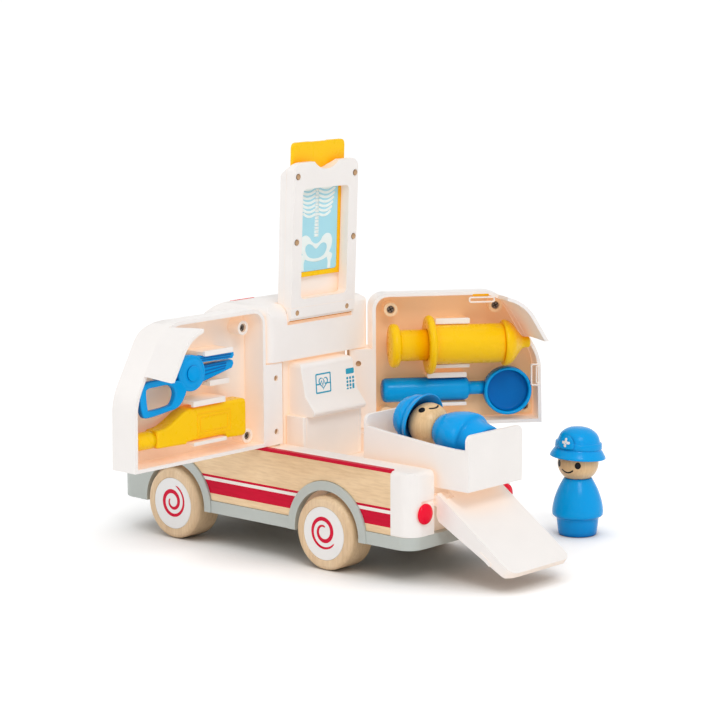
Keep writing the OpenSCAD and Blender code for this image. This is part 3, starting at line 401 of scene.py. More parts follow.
# The right tool board's peach is painted warm light bounced from the yellow tools and through the plastic, with
# painted shade and glow in its hollows.
PEACH_BOUNCE = paint_hollow_shade_glow(plastic("peach_bounce_plastic", (0.88, 0.69, 0.47), 0.44, grain=0.02, spec=0.25),
             (0.88, 0.54, 0.28), 0.05, 0.18, 0.6)
RAIL = plastic("rail_plastic", (0.93, 0.90, 0.88), 0.4, grain=0.02, spec=0.25)
GREY = plastic("grey_plastic", (0.50, 0.535, 0.505), 0.45, grain=0.12)
# Yellow with painted orange shade in its hollows and at its seams, and a faint painted glow.
YELLOW = paint_hollow_shade_glow(plastic("yellow_plastic", (1.0, 0.60, 0.0), 0.3, 0.01, 0.012, spec=0.22),
              (0.95, 0.33, 0.0), 0.014, 0.03, 0.75)
# Blue with painted deep blue shade in its hollows and at its seams.
BLUE = paint_hollow_shade_glow(plastic("blue_plastic", (0.0, 0.36, 0.84), 0.2, 0.015, 0.012, spec=0.16),
            (0.0, 0.13, 0.46), 0.016, 0.0, 0.9)
RED = plastic("red_plastic", (0.90, 0.0, 0.03), 0.18, 0.015, 0.012, spec=0.18)
LAMP = plastic("lamp_plastic", (0.92, 0.86, 0.62), 0.15, coat=0.5)
GLASS = plastic("window_plastic", (0.10, 0.17, 0.22), 0.08, coat=0.6)
FILM = plastic("film_print", (0.42, 0.76, 0.87), 0.35, spec=0.15)
BONE = plastic("bone_print", (0.87, 0.95, 0.93), 0.35)
TEAL = plastic("teal_print", (0.03, 0.36, 0.54), 0.4, spec=0.15)
# Black: the dolls' printed eyes and smiles, and painted shade in the screws' cross slots.
INK_AND_SLOT_SHADE = plastic("black_print_and_slot_shade", (0.006, 0.005, 0.005), 0.4, spec=0.2)
REDINK = plastic("red_print", (0.70, 0.004, 0.04), 0.4, spec=0.15)
PAPER = plastic("disc_print", (0.90, 0.89, 0.88), 0.45)
STEEL = plastic("steel", (0.55, 0.53, 0.5), 0.3)
STEEL.node_tree.nodes["Principled BSDF"].inputs["Metallic"].default_value = 1.0
DARK = plastic("dark_screw", (0.16, 0.12, 0.09), 0.4)
# Brown painted shade inside the cabinets' flange holes and the lid's recesses.
HOLE_SHADE = plastic("brown_hole_shade", (0.56, 0.36, 0.20), 0.5)
# Orange painted shadow along the seam under the lid.
SEAM_SHADOW = plastic("seam_shade", (0.62, 0.25, 0.04), 0.5, spec=0.08)
# Amber: painted shade in the slide's thumb scoop, and painted light shining through the right cabinet's top slot.
AMBER_SHADE_LIGHT = plastic("amber_shade_and_light", (0.92, 0.42, 0.0), 0.35, spec=0.15)
# The blue as it looks in shade: painted shade along the scissors' ridges and inside the mirror's dish.
BLUE_SHADE = plastic("painted_blue_shade", (0.0, 0.16, 0.52), 0.4, spec=0.1)
PANEL = printed_wood("printed_panel")
TYRE = wood("wheel_wood", 1.08)
SKIN = wood("head_wood", 1.02, 0.35, (1.06, 0.97, 0.80))

# ---------------------------------------------------------------- CAD pieces
BY_SLOT = {
    "wood": TYRE, "grey_plastic": GREY, "yellow_plastic": YELLOW, "blue_plastic": BLUE, "red_plastic": RED,
    "lamp_plastic": LAMP, "window_plastic": GLASS, "film": FILM, "skin_plastic": SKIN, "steel": STEEL,
    "white_plastic": WHITE,
}
BY_ENDING = {"side_panel": PANEL, "disc": PAPER, "_screws": DARK}
BY_NODE = {"ramp_hinge_pin": WHITE, "right_tool_board": PEACH_BOUNCE, "left_tool_board": INNER, "cab_bulkhead": INNER}
EDGE = 0.35                     # rounding of a piece's edges, mm, unless it is listed below
SOFT_EDGE = {
    "ramp_panel": 1.1, "bed_tray": 0.8, "cab_shell": 0.8, "body_tub": 0.7, "chassis_base": 1.0, "left_shell": 0.7,
    "right_shell": 0.7, "roof_lid": 1.2, "lid_frame": 0.8, "monitor_console": 1.2, "left_tool_board": 0.5,
    "right_tool_board": 0.5,
}
slots = {s["node"]: s["material_slot"] for s in frame["record"]["subparts"]}


def look(n):
    for ending, m in BY_ENDING.items():
        if n.endswith(ending):
            return m
    return BY_NODE.get(n, BY_SLOT[slots[n]])


for n, o in cad_nodes.items():
    o.data.materials.clear()
    o.data.materials.append(look(n))
    for p in o.data.polygons:
        p.use_smooth = True
        p.material_index = 0
    weld = o.modifiers.new("weld", "WELD")
    weld.merge_threshold = 1e-6
    flat = o.modifiers.new("flat", "DECIMATE")
    flat.decimate_type = "DISSOLVE"
    flat.angle_limit = math.radians(0.6)
    edge = o.modifiers.new("edge", "BEVEL")
    edge.width = SOFT_EDGE.get(n, EDGE) * MM
    edge.segments = 3
    edge.limit_method = "ANGLE"
    edge.angle_limit = math.radians(38)
    edge.use_clamp_overlap = True
    weighted(o)

# ---------------------------------------------------------------- dolls
PRINT_ROOT = 0.15                           # how far a raised print reaches into its piece
HEAD_Z, HEAD_R, HEAD_HALF = 46, 12.9, 12    # the head is an ellipsoid of revolution
EYE_Z, EYE_TURN = 46.3, math.radians(33)
SMILE_Z, SMILE_HALF, SMILE_RISE = 41.3, 4.3, 2.0
BADGE_Z = 60.2
HAT_PIVOT_Z = 54                            # the hat leans about this height
BODY_PROFILE = [
    (0, 0), (10.9, 0), (11.7, 0.25), (12.15, 0.9), (12.4, 3), (12.9, 7), (13.3, 10.6), (13.7, 11.5), (14.6, 12.0),
    (15.5, 12.4), (15.95, 13.1), (16.1, 14.2), (16.08, 15.6), (15.9, 17.6), (15.5, 20), (14.9, 22.6), (14.0, 25.4),
    (12.9, 28.4), (11.5, 31.4), (10.1, 34), (9.1, 35.8), (8.3, 36.6), (0, 36.65),
]
HAT_PROFILE = [                             # crown's inside, brim, band, crown
    (0, 58.3), (4.6, 58.2), (8.6, 56.4), (11.2, 54.4), (13.0, 52.8), (13.4, 52.6),
    (15.2, 51.1), (16.9, 49.85), (17.3, 49.7), (17.6, 49.95), (17.55, 50.4), (17.0, 51.6), (16.0, 53.2),
    (15.0, 54.7), (14.5, 55.3), (14.4, 55.6), (14.75, 55.8), (14.85, 56.2), (14.6, 59.0), (14.35, 59.5),
    (13.5, 59.7), (13.3, 60.1), (13.1, 60.9), (12.6, 62.4), (11.9, 63.9), (10.9, 65.2), (9.6, 66.3), (7.9, 67.4),
    (5.9, 68.2), (3.6, 68.7), (0, 68.9),
]
BADGE_SEAT = [                              # (height, radius) of the hat's skin under the badge
    (49.6, 17.4), (51.6, 17.0), (53.2, 16.0), (54.7, 15.0), (55.3, 14.6), (59.4, 14.5), (59.7, 13.6), (60.9, 13.1),
    (62.4, 12.6), (63.9, 11.9), (65.4, 10.9), (66.7, 9.6), (67.85, 7.9), (68.7, 5.9), (69.3, 3.6), (69.7, 0.5),
]
SHIELD = [
    (-5.4, 57.0), (-5.0, 60.6), (-3.0, 63.4), (0, 64.4), (3.0, 63.4), (5.0, 60.6), (5.4, 57.0), (2.5, 56.2),
    (0, 56.0), (-2.5, 56.2),
]


def wrapped(name, rows, closed, R, mat, body, M, thick):
    """Thin raised print on a turned skin of radius R(height).

    rows are lines of (length round the skin, height), the first one at the print's edge. They are rings round a
    middle that gets filled if closed, and otherwise run side by side from one edge to the other.
    """
    bm = bmesh.new()
    ref = R(sum(p[1] for p in rows[0]) / len(rows[0]))

    def line(row, d):
        return [bm.verts.new((*polar(R(h) + d, a / ref), h)) for a, h in row]

    out = [line(rows[0], -PRINT_ROOT)] + [line(row, thick) for row in rows]
    if not closed:
        out.append(line(rows[-1], -PRINT_ROOT))
    for a, b in zip(out, out[1:]):
        n = len(a)
        for i in range(n if closed else n - 1):
            j = (i + 1) % n
            bm.faces.new([a[i], a[j], b[j], b[i]])
    if closed:
        bm.faces.new(out[-1])
    return link_bmesh(bm, name, mat, body, M)


def shrunk(outline, middle, k=5):
    """k copies of an outline, each smaller than the one before, for wrapped()."""
    cx, cy = middle
    scales = [1 - i / k * 0.97 for i in range(k)]
    return [[(cx + (x - cx) * f, cy + (y - cy) * f) for x, y in outline] for f in scales]


def strip(line, w):
    """Five lines side by side that make a round-ended strip, for wrapped()."""
    P = [Vector(p) for p in line]
    n = len(P)
    nr = normals(P)
    rows = []
    for side in (0.5, 0.25, 0, -0.25, -0.5):
        row = []
        for i, p in enumerate(P):
            end = min(1, min(i, n - 1 - i) / n * 9)
            full = w * min(1, math.sqrt(max(0.0, 1 - (1 - end) ** 2)) + 0.12)
            row.append(tuple(p + nr[i] * side * full))
        rows.append(row)
    return rows


def head_r(h):
    return HEAD_R * math.sqrt(max(0.02, 1 - ((h - HEAD_Z) / HEAD_HALF) ** 2))


def badge_r(h):
    """Skin that carries the badge: the hat's, but not narrower than an almost upright face."""
    hat = BADGE_SEAT[-1][1]
    for (a, r0), (b, r1) in zip(BADGE_SEAT, BADGE_SEAT[1:]):
        if h <= b:
            hat = r0 + (r1 - r0) * (h - a) / (b - a)
            break
    return max(hat, 13.9 - max(0, h - 62) * 0.28)


def plus_outline(arm=2.75, half=0.75, end=0.6):
    """Plus with rounded arms round the middle of the badge."""
    quarter = [(half, half)]
    quarter += [(arm - end + end * math.cos(x), half * math.sin(x)) for x in (1.5, 1.0, 0.5, 0, -0.5, -1.0, -1.5)]
    out = []
    for k in range(4):
        c, s = polar(1, k * pi / 2)
        out += [(x * c - y * s, BADGE_Z + (x * s + y * c) * 1.06) for x, y in quarter]
    return sorted(out, key=lambda p: math.atan2(p[1] - BADGE_Z, p[0]))


def doll(pre, M, az, tilt=0, tilt_az=0, badge=True):
    """Peg doll: turned body with its collar step, wooden head with a printed face, soft-brimmed hat.

    The face looks to az; the hat leans by tilt towards tilt_az, in degrees.
    """
    o = lathe(pre + "_body_v", BODY_PROFILE, BLUE, pre, M, 128)
    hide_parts(pre + "_body")
    cheek = [(HEAD_R * math.cos(a), HEAD_Z + HEAD_HALF * math.sin(a)) for a in map(math.radians, range(-50, 74, 4))]
    o = lathe(pre + "_head_v", [(0, 36.8), (7.6, 36.8)] + cheek + [(0, 57.4)], SKIN, pre, M, 128)
    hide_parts(pre + "_head")
    hat = M
    if tilt:
        lean = math.radians(tilt_az)
        axis = Vector((math.sin(lean), -math.cos(lean), 0))
        hat = moved(moved(M, 0, 0, HAT_PIVOT_Z) @ Matrix.Rotation(math.radians(tilt), 4, axis), 0, 0, -HAT_PIVOT_Z)
    o = lathe(pre + "_hat_v", HAT_PROFILE, BLUE, pre, hat, 128)
    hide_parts(pre + "_hat")
    turn = Matrix.Rotation(math.radians(az), 4, "Z")
    face = M @ turn
    for i, side in enumerate((-1, 1)):
        a = side * EYE_TURN * head_r(EYE_Z)
        eye = shrunk(oval(a, EYE_Z, 1.95, 2.15), (a, EYE_Z))
        wrapped(pre + "_eye_%d" % i, eye, True, head_r, INK_AND_SLOT_SHADE, pre, face, 0.1)
    smile = [(SMILE_HALF * x, SMILE_Z + SMILE_RISE * x * x) for x in [i / 12 - 1 for i in range(25)]]
    wrapped(pre + "_smile", strip(smile, 1.0), False, head_r, INK_AND_SLOT_SHADE, pre, face, 0.08)
    if badge:
        front, middle = hat @ turn, (0, BADGE_Z)
        wrapped(pre + "_badge", shrunk(spline(SHIELD, 6), middle, 7), True, badge_r, BLUE, pre, front, 0.95)
        wrapped(pre + "_plus", shrunk(plus_outline(), middle), True, badge_r, PAPER, pre, front, 1.05)


doll("medic", Matrix.Translation((-125.5, -124, 0)), 93.6, 4.0, 55)
lying = Matrix.Translation((-154.0, 1, 78.505)) @ Matrix.Rotation(math.radians(80), 4, "Y")
doll("patient", lying, 173, badge=False)

# ---------------------------------------------------------------- wheel prints
WHEEL_Z, HUB_FACE_Y = 22.5, 52.12
SPIRAL_STEPS, SPIRAL_ENDS, SPIRAL_LIFT = 90, 4, 1.2      # steps, rounded ones at each end, shift upwards
SPIRAL_WIDTH = 2.5


def spiral(name, M, body, start, sweep, r0, slope):
    """Growing ribbon with a swelling middle, as one flat print; angles in degrees."""
    n = SPIRAL_STEPS
    P = []
    for i in range(n + 1):
        x, y = polar(r0 + slope * sweep * i / n, math.radians(start + sweep * i / n))
        P.append(Vector((x, y + SPIRAL_LIFT)))
    left, right = [], []
    for i, (p, across) in enumerate(zip(P, normals(P))):
        k = i / n
        w = 1.0 + (SPIRAL_WIDTH - 1.0) * math.sin(pi * min(1, k * 1.02)) ** 1.3 + 0.25 * k
        end = min(i, n - i)
        if end < SPIRAL_ENDS:
            w *= math.sqrt(1 - (1 - end / SPIRAL_ENDS) ** 2) * 0.98 + 0.02
        left.append(tuple(p + across * w / 2))
        right.append(tuple(p - across * w / 2))
    bm = bmesh.new()
    rows = [(left, -0.05), (left, 0.06), (right, 0.06), (right, -0.05)]
    low_l, top_l, top_r, low_r = ([bm.verts.new((*p, z)) for p in row] for row, z in rows)
    for i in range(n):
        for a, b in ((top_l, top_r), (low_l, top_l), (top_r, low_r)):
            bm.faces.new([a[i], a[i + 1], b[i + 1], b[i]])
    return link_bmesh(bm, name, REDINK, body, M, smooth=False)


spirals = (("front", 59.3, 143, 653, 2.6, 0.0125), ("rear", -69.7, 63, 622, 3.1, 0.0120))
for axle, x, start, sweep, r0, slope in spirals:
    for name, s, turned in (("left", 1, 0), ("right", -1, 70)):
        M = frame_of((x, s * HUB_FACE_Y, WHEEL_Z), (-s, 0, 0), (0, 0, 1), (0, s, 0))
        spiral("%s_%s_spiral" % (axle, name), M, axle + "_wheels", start + turned, sweep, r0, slope)

# ---------------------------------------------------------------- console print
PRINT_UNDER = 0.06                       # a flat print reaches this far into its piece
CONSOLE = frame_of((-29, 0, 96.5), (0, -1, 0), Vector((3.4, 0, 15.9)).normalized(),
                   Vector((-15.9, 0, 3.4)).normalized())
SCREEN_U, SCREEN_V = -5.9, 6.6           # middle of the monitor
SLANT = 0.17                             # the print leans, so that it stands upright in the photo's view


def console(name, loops, z=0.0):
    slanted = [[(u + SLANT * (v - SCREEN_V), v) for u, v in loop] for loop in loops]
    return plate(name, slanted, z - PRINT_UNDER, z + 0.08, TEAL, "base", CONSOLE)


def on_screen(pts, scale=1.0, rise=0.0):
    return [(SCREEN_U + scale * u, SCREEN_V + rise + scale * v) for u, v in pts]


def screen_box(hu, hv, r):
    return rrect(SCREEN_U - hu, SCREEN_U + hu, SCREEN_V - hv, SCREEN_V + hv, r)


def heart_point(x):
    v = 3.15 * math.cos(x) - 1.2 * math.cos(2 * x) - 0.48 * math.cos(3 * x) - 0.24 * math.cos(4 * x)
    return 3.9 * math.sin(x) ** 3, 0.25 + v


console("monitor_square", [screen_box(6.9, 6.1, 0.9), screen_box(5.95, 5.2, 0.5)])
heart = [heart_point(2 * pi * i / 60) for i in range(60)]
console("monitor_heart", [on_screen(heart, 1.08), on_screen(heart, 0.86, 0.12)])
pulse = [(-6.2, -0.5), (-3.4, -0.5), (-2.6, -0.2), (-1.7, 1.5), (-0.5, -1.6), (0.6, 1.9), (1.6, -0.7), (2.4, -0.3),
         (6.2, -0.4)]
console("monitor_pulse", [stroke(on_screen(pulse), 0.8)], 0.02)
console("keypad_bar", [rrect(14.9, 22.3, 9.2, 12.6, 0.8)])
for c in range(3):
    for r in range(4):
        if (c, r) == (2, 3):
            continue
        u, v = 16.0 + 2.65 * c, 6.7 - 2.2 * r
        tall = 2.2 if (c, r) == (2, 2) else 0        # the last key spans two rows
        console("key_%d%d" % (c, r), [rrect(u - 0.85, u + 0.85, v - 0.8 - tall, v + 0.8, 0.6)])

# ---------------------------------------------------------------- picture print
FILM_W = -1.27                           # face of the film in the lid
SPINE_U = -0.6


def film(name, loops, z=FILM_W):
    return plate(name, loops, z - PRINT_UNDER, z + 0.1, BONE, "picture", LID)


def both_sides(half):
    """Closed outline from its right half, which starts and ends on the spine."""
    return [(SPINE_U + u, v) for u, v in half] + [(SPINE_U - u, v) for u, v in half[-2:0:-1]]


for i in range(16):
    v = 77.6 - 2.15 * i
    h = 1.55 + 0.04 * i
    waist = h * 0.72
    bone = [(-h, 0.75), (0, 0.95), (h, 0.75), (waist, 0), (h, -0.75), (0, -0.9), (-h, -0.75), (-waist, 0)]
    film("vertebra_%02d" % i, [spline([(SPINE_U + a, v + b) for a, b in bone], 4)])
for s in (-1, 1):
    for i in range(8):
        top, length, sag = 79.2 - 2.9 * i, 13.6 - 0.08 * i * i, 3.1 - 0.12 * i
        line = [(SPINE_U + s * (2.2 + length * t), top - sag * math.sin(pi * (0.08 + 0.80 * t)) + 1.3 * t)
                for t in [k / 12 for k in range(13)]]
        film("rib_%s%d" % ("ab"[s > 0], i), [stroke(line, 1.6)])
wing = [(0, 40.2), (3.6, 41.6), (6.0, 44.4), (9.4, 46.0), (12.8, 45.0), (14.4, 41.6), (13.8, 37.4), (11.8, 34.0),
        (10.4, 31.6), (7.2, 30.2), (3.6, 29.4), (0, 29.0)]
opening = [(0, 37.0), (3.4, 39.4), (6.6, 40.4), (9.2, 39.2), (9.6, 36.6), (7.8, 33.4), (4.6, 31.6), (0, 31.0)]
film("hip", [spline(both_sides(wing), 5), spline(both_sides(opening), 5)])
thigh = [(10.2, 33.6), (12.6, 34.0), (14.6, 32.6), (14.4, 30.4), (13.4, 28.2), (13.2, 24.2), (10.8, 24.2),
         (10.9, 28.4), (9.8, 31.4)]
for s in (-1, 1):
    film("thigh_%s" % "ab"[s > 0], [spline([(SPINE_U + s * u, v) for u, v in thigh][::s], 5)], FILM_W - 0.03)


# ---------------------------------------------------------------- screws
def cross_screw(name, u, v, w, r, body, M):
    """Recessed screw head: dished disc with a cross slot, the slot in black as painted shade."""
    P = moved(M, u, v, w)
    lathe(name, [(0, -0.35), (r * 0.5, -0.3), (r * 0.86, -0.08), (r, -0.25), (r, -0.6)], DARK, body, P, 40)
    for k in range(2):
        c, s = polar(r * 0.72, math.radians(28 + 90 * k))
        plate(name + "_slot%d" % k, [stroke([(-c, -s), (c, s)], 0.42 * r / 1.6)], -0.24, -0.05, INK_AND_SLOT_SHADE, body, P)


BOARD_SCREW_R = 2.2
BOARD_Y, SCREW_SINK = 44.6, 0.9          # cabinet's back from the mid plane; depth of a screw in its boss
bosses = [(26.4, 141.8, 9), (93.6, 142.8, 9), (114, 76.6, 3.6), (23.6, 75.4, 9)]      # along, up, height
for i, (s, z, h) in enumerate(bosses):
    w = -(BOARD_Y - h + SCREW_SINK)
    cross_screw("left_cross_%d" % i, -s, z, w, BOARD_SCREW_R, "left_door", LEFT)
    cross_screw("right_cross_%d" % i, s, z, w, BOARD_SCREW_R, "right_door", RIGHT)
# Flange holes: brown cups of painted shade.
flange_hole = [(0, 0), (1.0, 0.02), (1.55, 0.25), (1.78, 0.9)]
for i, z in enumerate((76, 109)):
    for name, u, M in (("left", -4.7, LEFT), ("right", 4.7, RIGHT)):
        lathe("%s_flange_hole_%d" % (name, i), flange_hole, HOLE_SHADE, name + "_door", moved(M, u, z, -31.4), 32)
HEEL_FACE, FRAME_FACE = 4.5, 5.12        # w of the lid's face at its axis and of its window frame
HEEL_TOP = 10
# The lid's recesses: brown cups of painted shade.
lid_recess = [(0, 0), (0.9, 0.02), (1.45, 0.2), (1.66, 0.8)]
lid_holes = ((25.2, 83.7), (-25.8, 82.9), (25.2, 43.8), (-25.8, 43.3), (23.2, 0.3), (-21.7, -0.1))
for i, (y, z) in enumerate(lid_holes):
    place = moved(LID, -y, z, HEEL_FACE if z < HEEL_TOP else FRAME_FACE)
    lathe("lid_recess_%d" % i, lid_recess, HOLE_SHADE, "lid", place, 32)

# ---------------------------------------------------------------- scissors
SCISSORS = moved(LEFT, -74.4, 120.8, 0)          # on the rivet
NEAR, FAR = (-34.6, -30.3), (-39.3, -34.95)      # w of the half on top and of the one behind it


def handle(pts):
    return spline([(-a, b) for a, b in pts], 5)


outer = handle([(4, -7.5), (6.4, -13.7), (11.4, -18.7), (20, -20.3), (34.7, -21.9), (39.8, -20.4), (42.2, -11.9),
                (41.6, -6.5), (38.3, -1.4), (28, -0.8), (14, -2.8), (8, -3)])
inner = handle([(13.9, -10.7), (16.0, -15.4), (20, -17.0), (34.0, -17.8), (36.0, -16.0), (36.9, -7.2), (35.4, -4.9),
                (28, -4.5), (19.4, -4.6), (15.2, -6.9)])
o = plate("scissor_loop_a", [outer, inner], *NEAR, BLUE, "scissors", SCISSORS, 1.1)
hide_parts("scissor_half_a")
jaw = [(0.5, 9.4), (10, 9.6), (33.8, 9.1), (35.6, 8.3), (35.8, 6.4), (34.4, 4.7), (20, 5.0), (7, 5.2), (1, 4)]
plate("scissor_jaw_a", [jaw], NEAR[0], NEAR[1] - 0.6, BLUE, "scissors", SCISSORS, 0.9)
# Dark blue lines of painted shade along the jaw's ridges.
for k, (a, b, c, d) in enumerate(((7, 7.9, 32.6, 7.4), (7, 6.6, 31.8, 6.0))):
    plate("scissor_ridge_shade_a%d" % k, [stroke([(a, b), (c, d)], 0.8)], -31.2, -30.8, BLUE_SHADE, "scissors", SCISSORS, 0.1)
disc = [(0, 0.9), (1.2, 0.85), (1.7, 0.55), (2.0, 0.1), (5.6, 0.02), (8.6, 0), (9.0, -0.25), (9.4, 0),
        (10.1, -0.05), (10.6, -0.4), (10.8, -1.0), (10.8, -4.2)]
lathe("scissor_disc", disc, BLUE, "scissors", moved(SCISSORS, 0, 0, -30.2))
outer = handle([(3, 7), (7.4, 13.6), (18, 15), (25.8, 13.4), (27.4, 6), (24, -1.6), (10, -1), (4, -2)])
inner = handle([(10.5, 4.2), (11.6, 10.4), (18, 11.6), (23.0, 10.4), (24.3, 5), (21, 1.9), (14, 2.0)])
o = plate("scissor_loop_b", [outer, inner], *FAR, BLUE, "scissors_b", SCISSORS, 1.1)
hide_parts("scissor_half_b")
jaw = [(5, 2.4), (36.8, 3.4), (38.9, 2.5), (39.4, 0.6), (37.9, -2.0), (20, -6.0), (5, -9.2), (2, -6)]
plate("scissor_jaw_b", [jaw], *FAR, BLUE, "scissors_b", SCISSORS, 0.9)
# Dark blue lines of painted shade along the jaw's ridges.
for k, (a, b, c, d) in enumerate(((9, 1.2, 32.6, 1.6), (10, -1.2, 32.4, 0.1), (10, -3.8, 31.6, -1.2))):
    plate("scissor_ridge_shade_b%d" % k, [stroke([(a, b), (c, d)], 0.9)], -35.2, -34.85, BLUE_SHADE, "scissors_b", SCISSORS, 0.1)
disc = [(10.2, -4.2), (10.2, -0.6), (9.8, 0), (3.2, 0)]
lathe("scissor_disc_b", disc, BLUE, "scissors_b", moved(SCISSORS, 0, 0, -35.0))

# ---------------------------------------------------------------- thermometer
shoulder = [(-(73.5 + 27 * i / 10), 95.5 + 4.9 * math.cos(pi * i / 10)) for i in range(1, 11)]
side = [(-32, 100.3), (-52, 100.5), (-72, 100.5)] + shoulder
side += [(-102.6, 90.4), (-103.9, 89.4), (-103.9, 81), (-102.6, 79.7), (-80, 79.1), (-79, 80.2), (-48, 80.2),
         (-47, 78.1), (-32.4, 77.5), (-30.3, 78.3), (-29.7, 80), (-29.7, 97.4), (-30.3, 99.5)]
o = plate("thermometer_v", [side], -41.3, -30.05, YELLOW, "thermometer", LEFT, 1.7, 5)
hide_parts("thermometer_body")
for k, (g, w) in enumerate(((0, 0.8), (2.3, 0.7))):
    ring("thermometer_step_%d" % k, -71 + g, -43 - g, 82.4 + g, 96.2 - g, 1.2, w, -30.2, -29.78, YELLOW,
         "thermometer", LEFT)
nozzle = [(0, 0), (5.3, 0), (5.3, 3.4), (5.2, 12.2), (5.0, 13.4), (4.3, 14.3), (3.2, 14.6), (0, 14.6)]
place = moved(LEFT, -104.05, 84.9, -35.7) @ Matrix.Rotation(-pi / 2, 4, "Y")
o = lathe("thermometer_nozzle_v", nozzle, YELLOW, "thermometer", place, 64)
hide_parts("thermometer_nozzle")

# ---------------------------------------------------------------- syringe and mirror
ACROSS = Matrix.Rotation(pi / 2, 4, "Y")         # turns a lathe's axis along the right cabinet
SYRINGE = moved(RIGHT, 0, 120.3, -25.7) @ ACROSS
barrel = [(10.1, 47.4), (15.5, 47.05), (17.6, 47.3), (18.3, 48.0), (18.6, 49.2), (18.3, 50.4), (17.6, 51.2),
          (15.5, 51.6), (13.4, 51.8), (12.6, 52.3), (12.4, 53.2), (12.4, 95.4), (12.2, 95.9), (10.1, 96)]
o = lathe("syringe_barrel_v", barrel, YELLOW, "syringe", SYRINGE, 128)
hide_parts("syringe_barrel")
nose = [(0, 96.05), (14.0, 96.05), (14.45, 96.5), (14.6, 97.4), (14.35, 98.9), (13.6, 100.4), (12.6, 101.6),
        (12.2, 102.2), (10.6, 103.4), (7.4, 105.8), (5.2, 107.5), (4.2, 108.6), (3.7, 109.6), (3.5, 110.8),
        (3.5, 112.4), (3.2, 113.2), (2.4, 113.7), (0, 113.8)]
o = lathe("syringe_nose_v", nose, YELLOW, "syringe", SYRINGE, 128)
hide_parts("syringe_nose")
plunger = [(0, 23.7), (10.5, 23.7), (12.6, 24.1), (13.5, 25.0), (13.8, 26.4), (13.6, 28.0), (12.9, 29.1),
           (11.2, 29.8), (10.2, 30.1), (9.8, 30.8), (9.8, 78), (0, 78)]
o = lathe("syringe_plunger_v", plunger, YELLOW, "plunger", SYRINGE, 128)
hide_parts("syringe_plunger")
grip = [(0, 20.45), (4.6, 20.5), (6.4, 21.0), (7.3, 22.0), (7.65, 23.4), (7.7, 25), (7.7, 72.4), (7.45, 74.2),
        (6.7, 75.4), (5.4, 76.1), (4.6, 76.6), (4.3, 77.6), (4.2, 82), (4.35, 86.4), (0, 86.4)]
o = lathe("mirror_handle_v", grip, BLUE, "mirror", moved(RIGHT, 0, 90.2, -36.5) @ ACROSS)
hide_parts("mirror_handle")
DISH = moved(RIGHT, 101, 88.4, -40.1)
dish = [(0, 0), (12.2, 0), (14.2, 0.5), (15.1, 1.6), (15.4, 3.2), (15.4, 9.0), (15.25, 9.6), (14.8, 9.95),
        (14.2, 10), (13.6, 9.8), (13.3, 9.3), (13.2, 8.6), (13.0, 5.6), (12.5, 4.8), (11.6, 4.4), (0, 4.4)]
o = lathe("mirror_dish_v", dish, BLUE, "mirror", DISH, 128)
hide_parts("mirror_dish")
# The inside of the dish in painted shade.
lathe("mirror_face_shade", [(12.9, 7.6), (12.88, 5.8), (12.4, 4.95), (11.5, 4.52), (0, 4.5)], BLUE_SHADE, "mirror", DISH, 128)

# ---------------------------------------------------------------- cab
ROOF = Matrix.Translation((20.4, 0, 152.93)) @ Matrix.Rotation(math.radians(9.8), 4, "Y")
CORNER_X, CORNER_Y = 88, 30.2                    # middle of the cab's rounded front corner
LINING = (12.4, 15.72)                           # radii of the lining in it
NOSE_Z, NOSE_R, NOSE_BACK = 84, 24, 8            # the nose above it is rounded too


def cab_corner(name, side):
    """Curved inner lining that closes the rounded front corner of the cab from the bumper up to the nose."""
    bm = bmesh.new()
    cols = []
    for i in range(17):
        a = math.radians(6 + 78 * i / 16)
        top = NOSE_Z + NOSE_R * math.sin(math.acos((NOSE_BACK + 15.7 * math.cos(a)) / NOSE_R)) - 1.0
        col = []
        for r in LINING:
            x, y = polar(r, a)
            col += [bm.verts.new((CORNER_X + x, side * (CORNER_Y + y), z)) for z in (38.3, 60, top)]
        cols.append(col)
    for a, b in zip(cols, cols[1:]):
        for p, q in ((0, 1), (1, 2), (2, 5), (5, 4), (4, 3), (3, 0)):
            bm.faces.new((a[p], a[q], b[q], b[p]))
    for c in (cols[0], cols[-1]):
        bm.faces.new((c[0], c[1], c[4], c[3]))
        bm.faces.new((c[1], c[2], c[5], c[4]))
    return weighted(link_bmesh(bm, name, WHITE, "base"))


for name, y0, y1 in (("left", 18.4, 36.4), ("right", -36.4, -18.4)):
    plate("roof_bar_" + name, [rrect(-2.6, 2.6, y0, y1, 1.2)], -0.1, 0.14, RED, "base", ROOF, 0.05)
for name, y0, y1 in (("left", 23.4, 26.6), ("right", -26.6, -23.4)):
    foot = rrect(-30.05, -15.4, y0, y1, 0.8)
    plate("console_skirt_" + name, [foot], 55.3, 84.2, WHITE, "base", Matrix.Identity(4), 0.4)
cab_corner("cab_corner_left", 1)
cab_corner("cab_corner_right", -1)

# ---------------------------------------------------------------- cabinet rails, lid and slide edges, latches, bed; painted shade and light at lid seam, scoop and slot
RAIL_SKIN = 0.1                          # how far a white rail edge stands out from its rail
rails = ((53, 75, 133.2, 136.6, 25.2), (53, 75, 105.3, 107.5, 25.2), (49, 74, 98.3, 101.5, 29.9),
         (52, 74, 80.2, 82.2, 29.9))     # start and end along the cabinet, bottom, top, distance from the mid plane
for i, (s, e, z0, z1, y) in enumerate(rails):
    loop = rrect(s - RAIL_SKIN, e + RAIL_SKIN, z0 - RAIL_SKIN, z1 + RAIL_SKIN, 0.9)
    plate("right_rail_edge_%d" % i, [loop], -y - 2.3, -y + RAIL_SKIN, RAIL, "right_door", RIGHT, 0.4)
plate("left_rail_edge", [rrect(-66.1, -42.4, 129.9, 133.0, 0.9)], -30.3, -27.9, RAIL, "left_door", LEFT, 0.4)
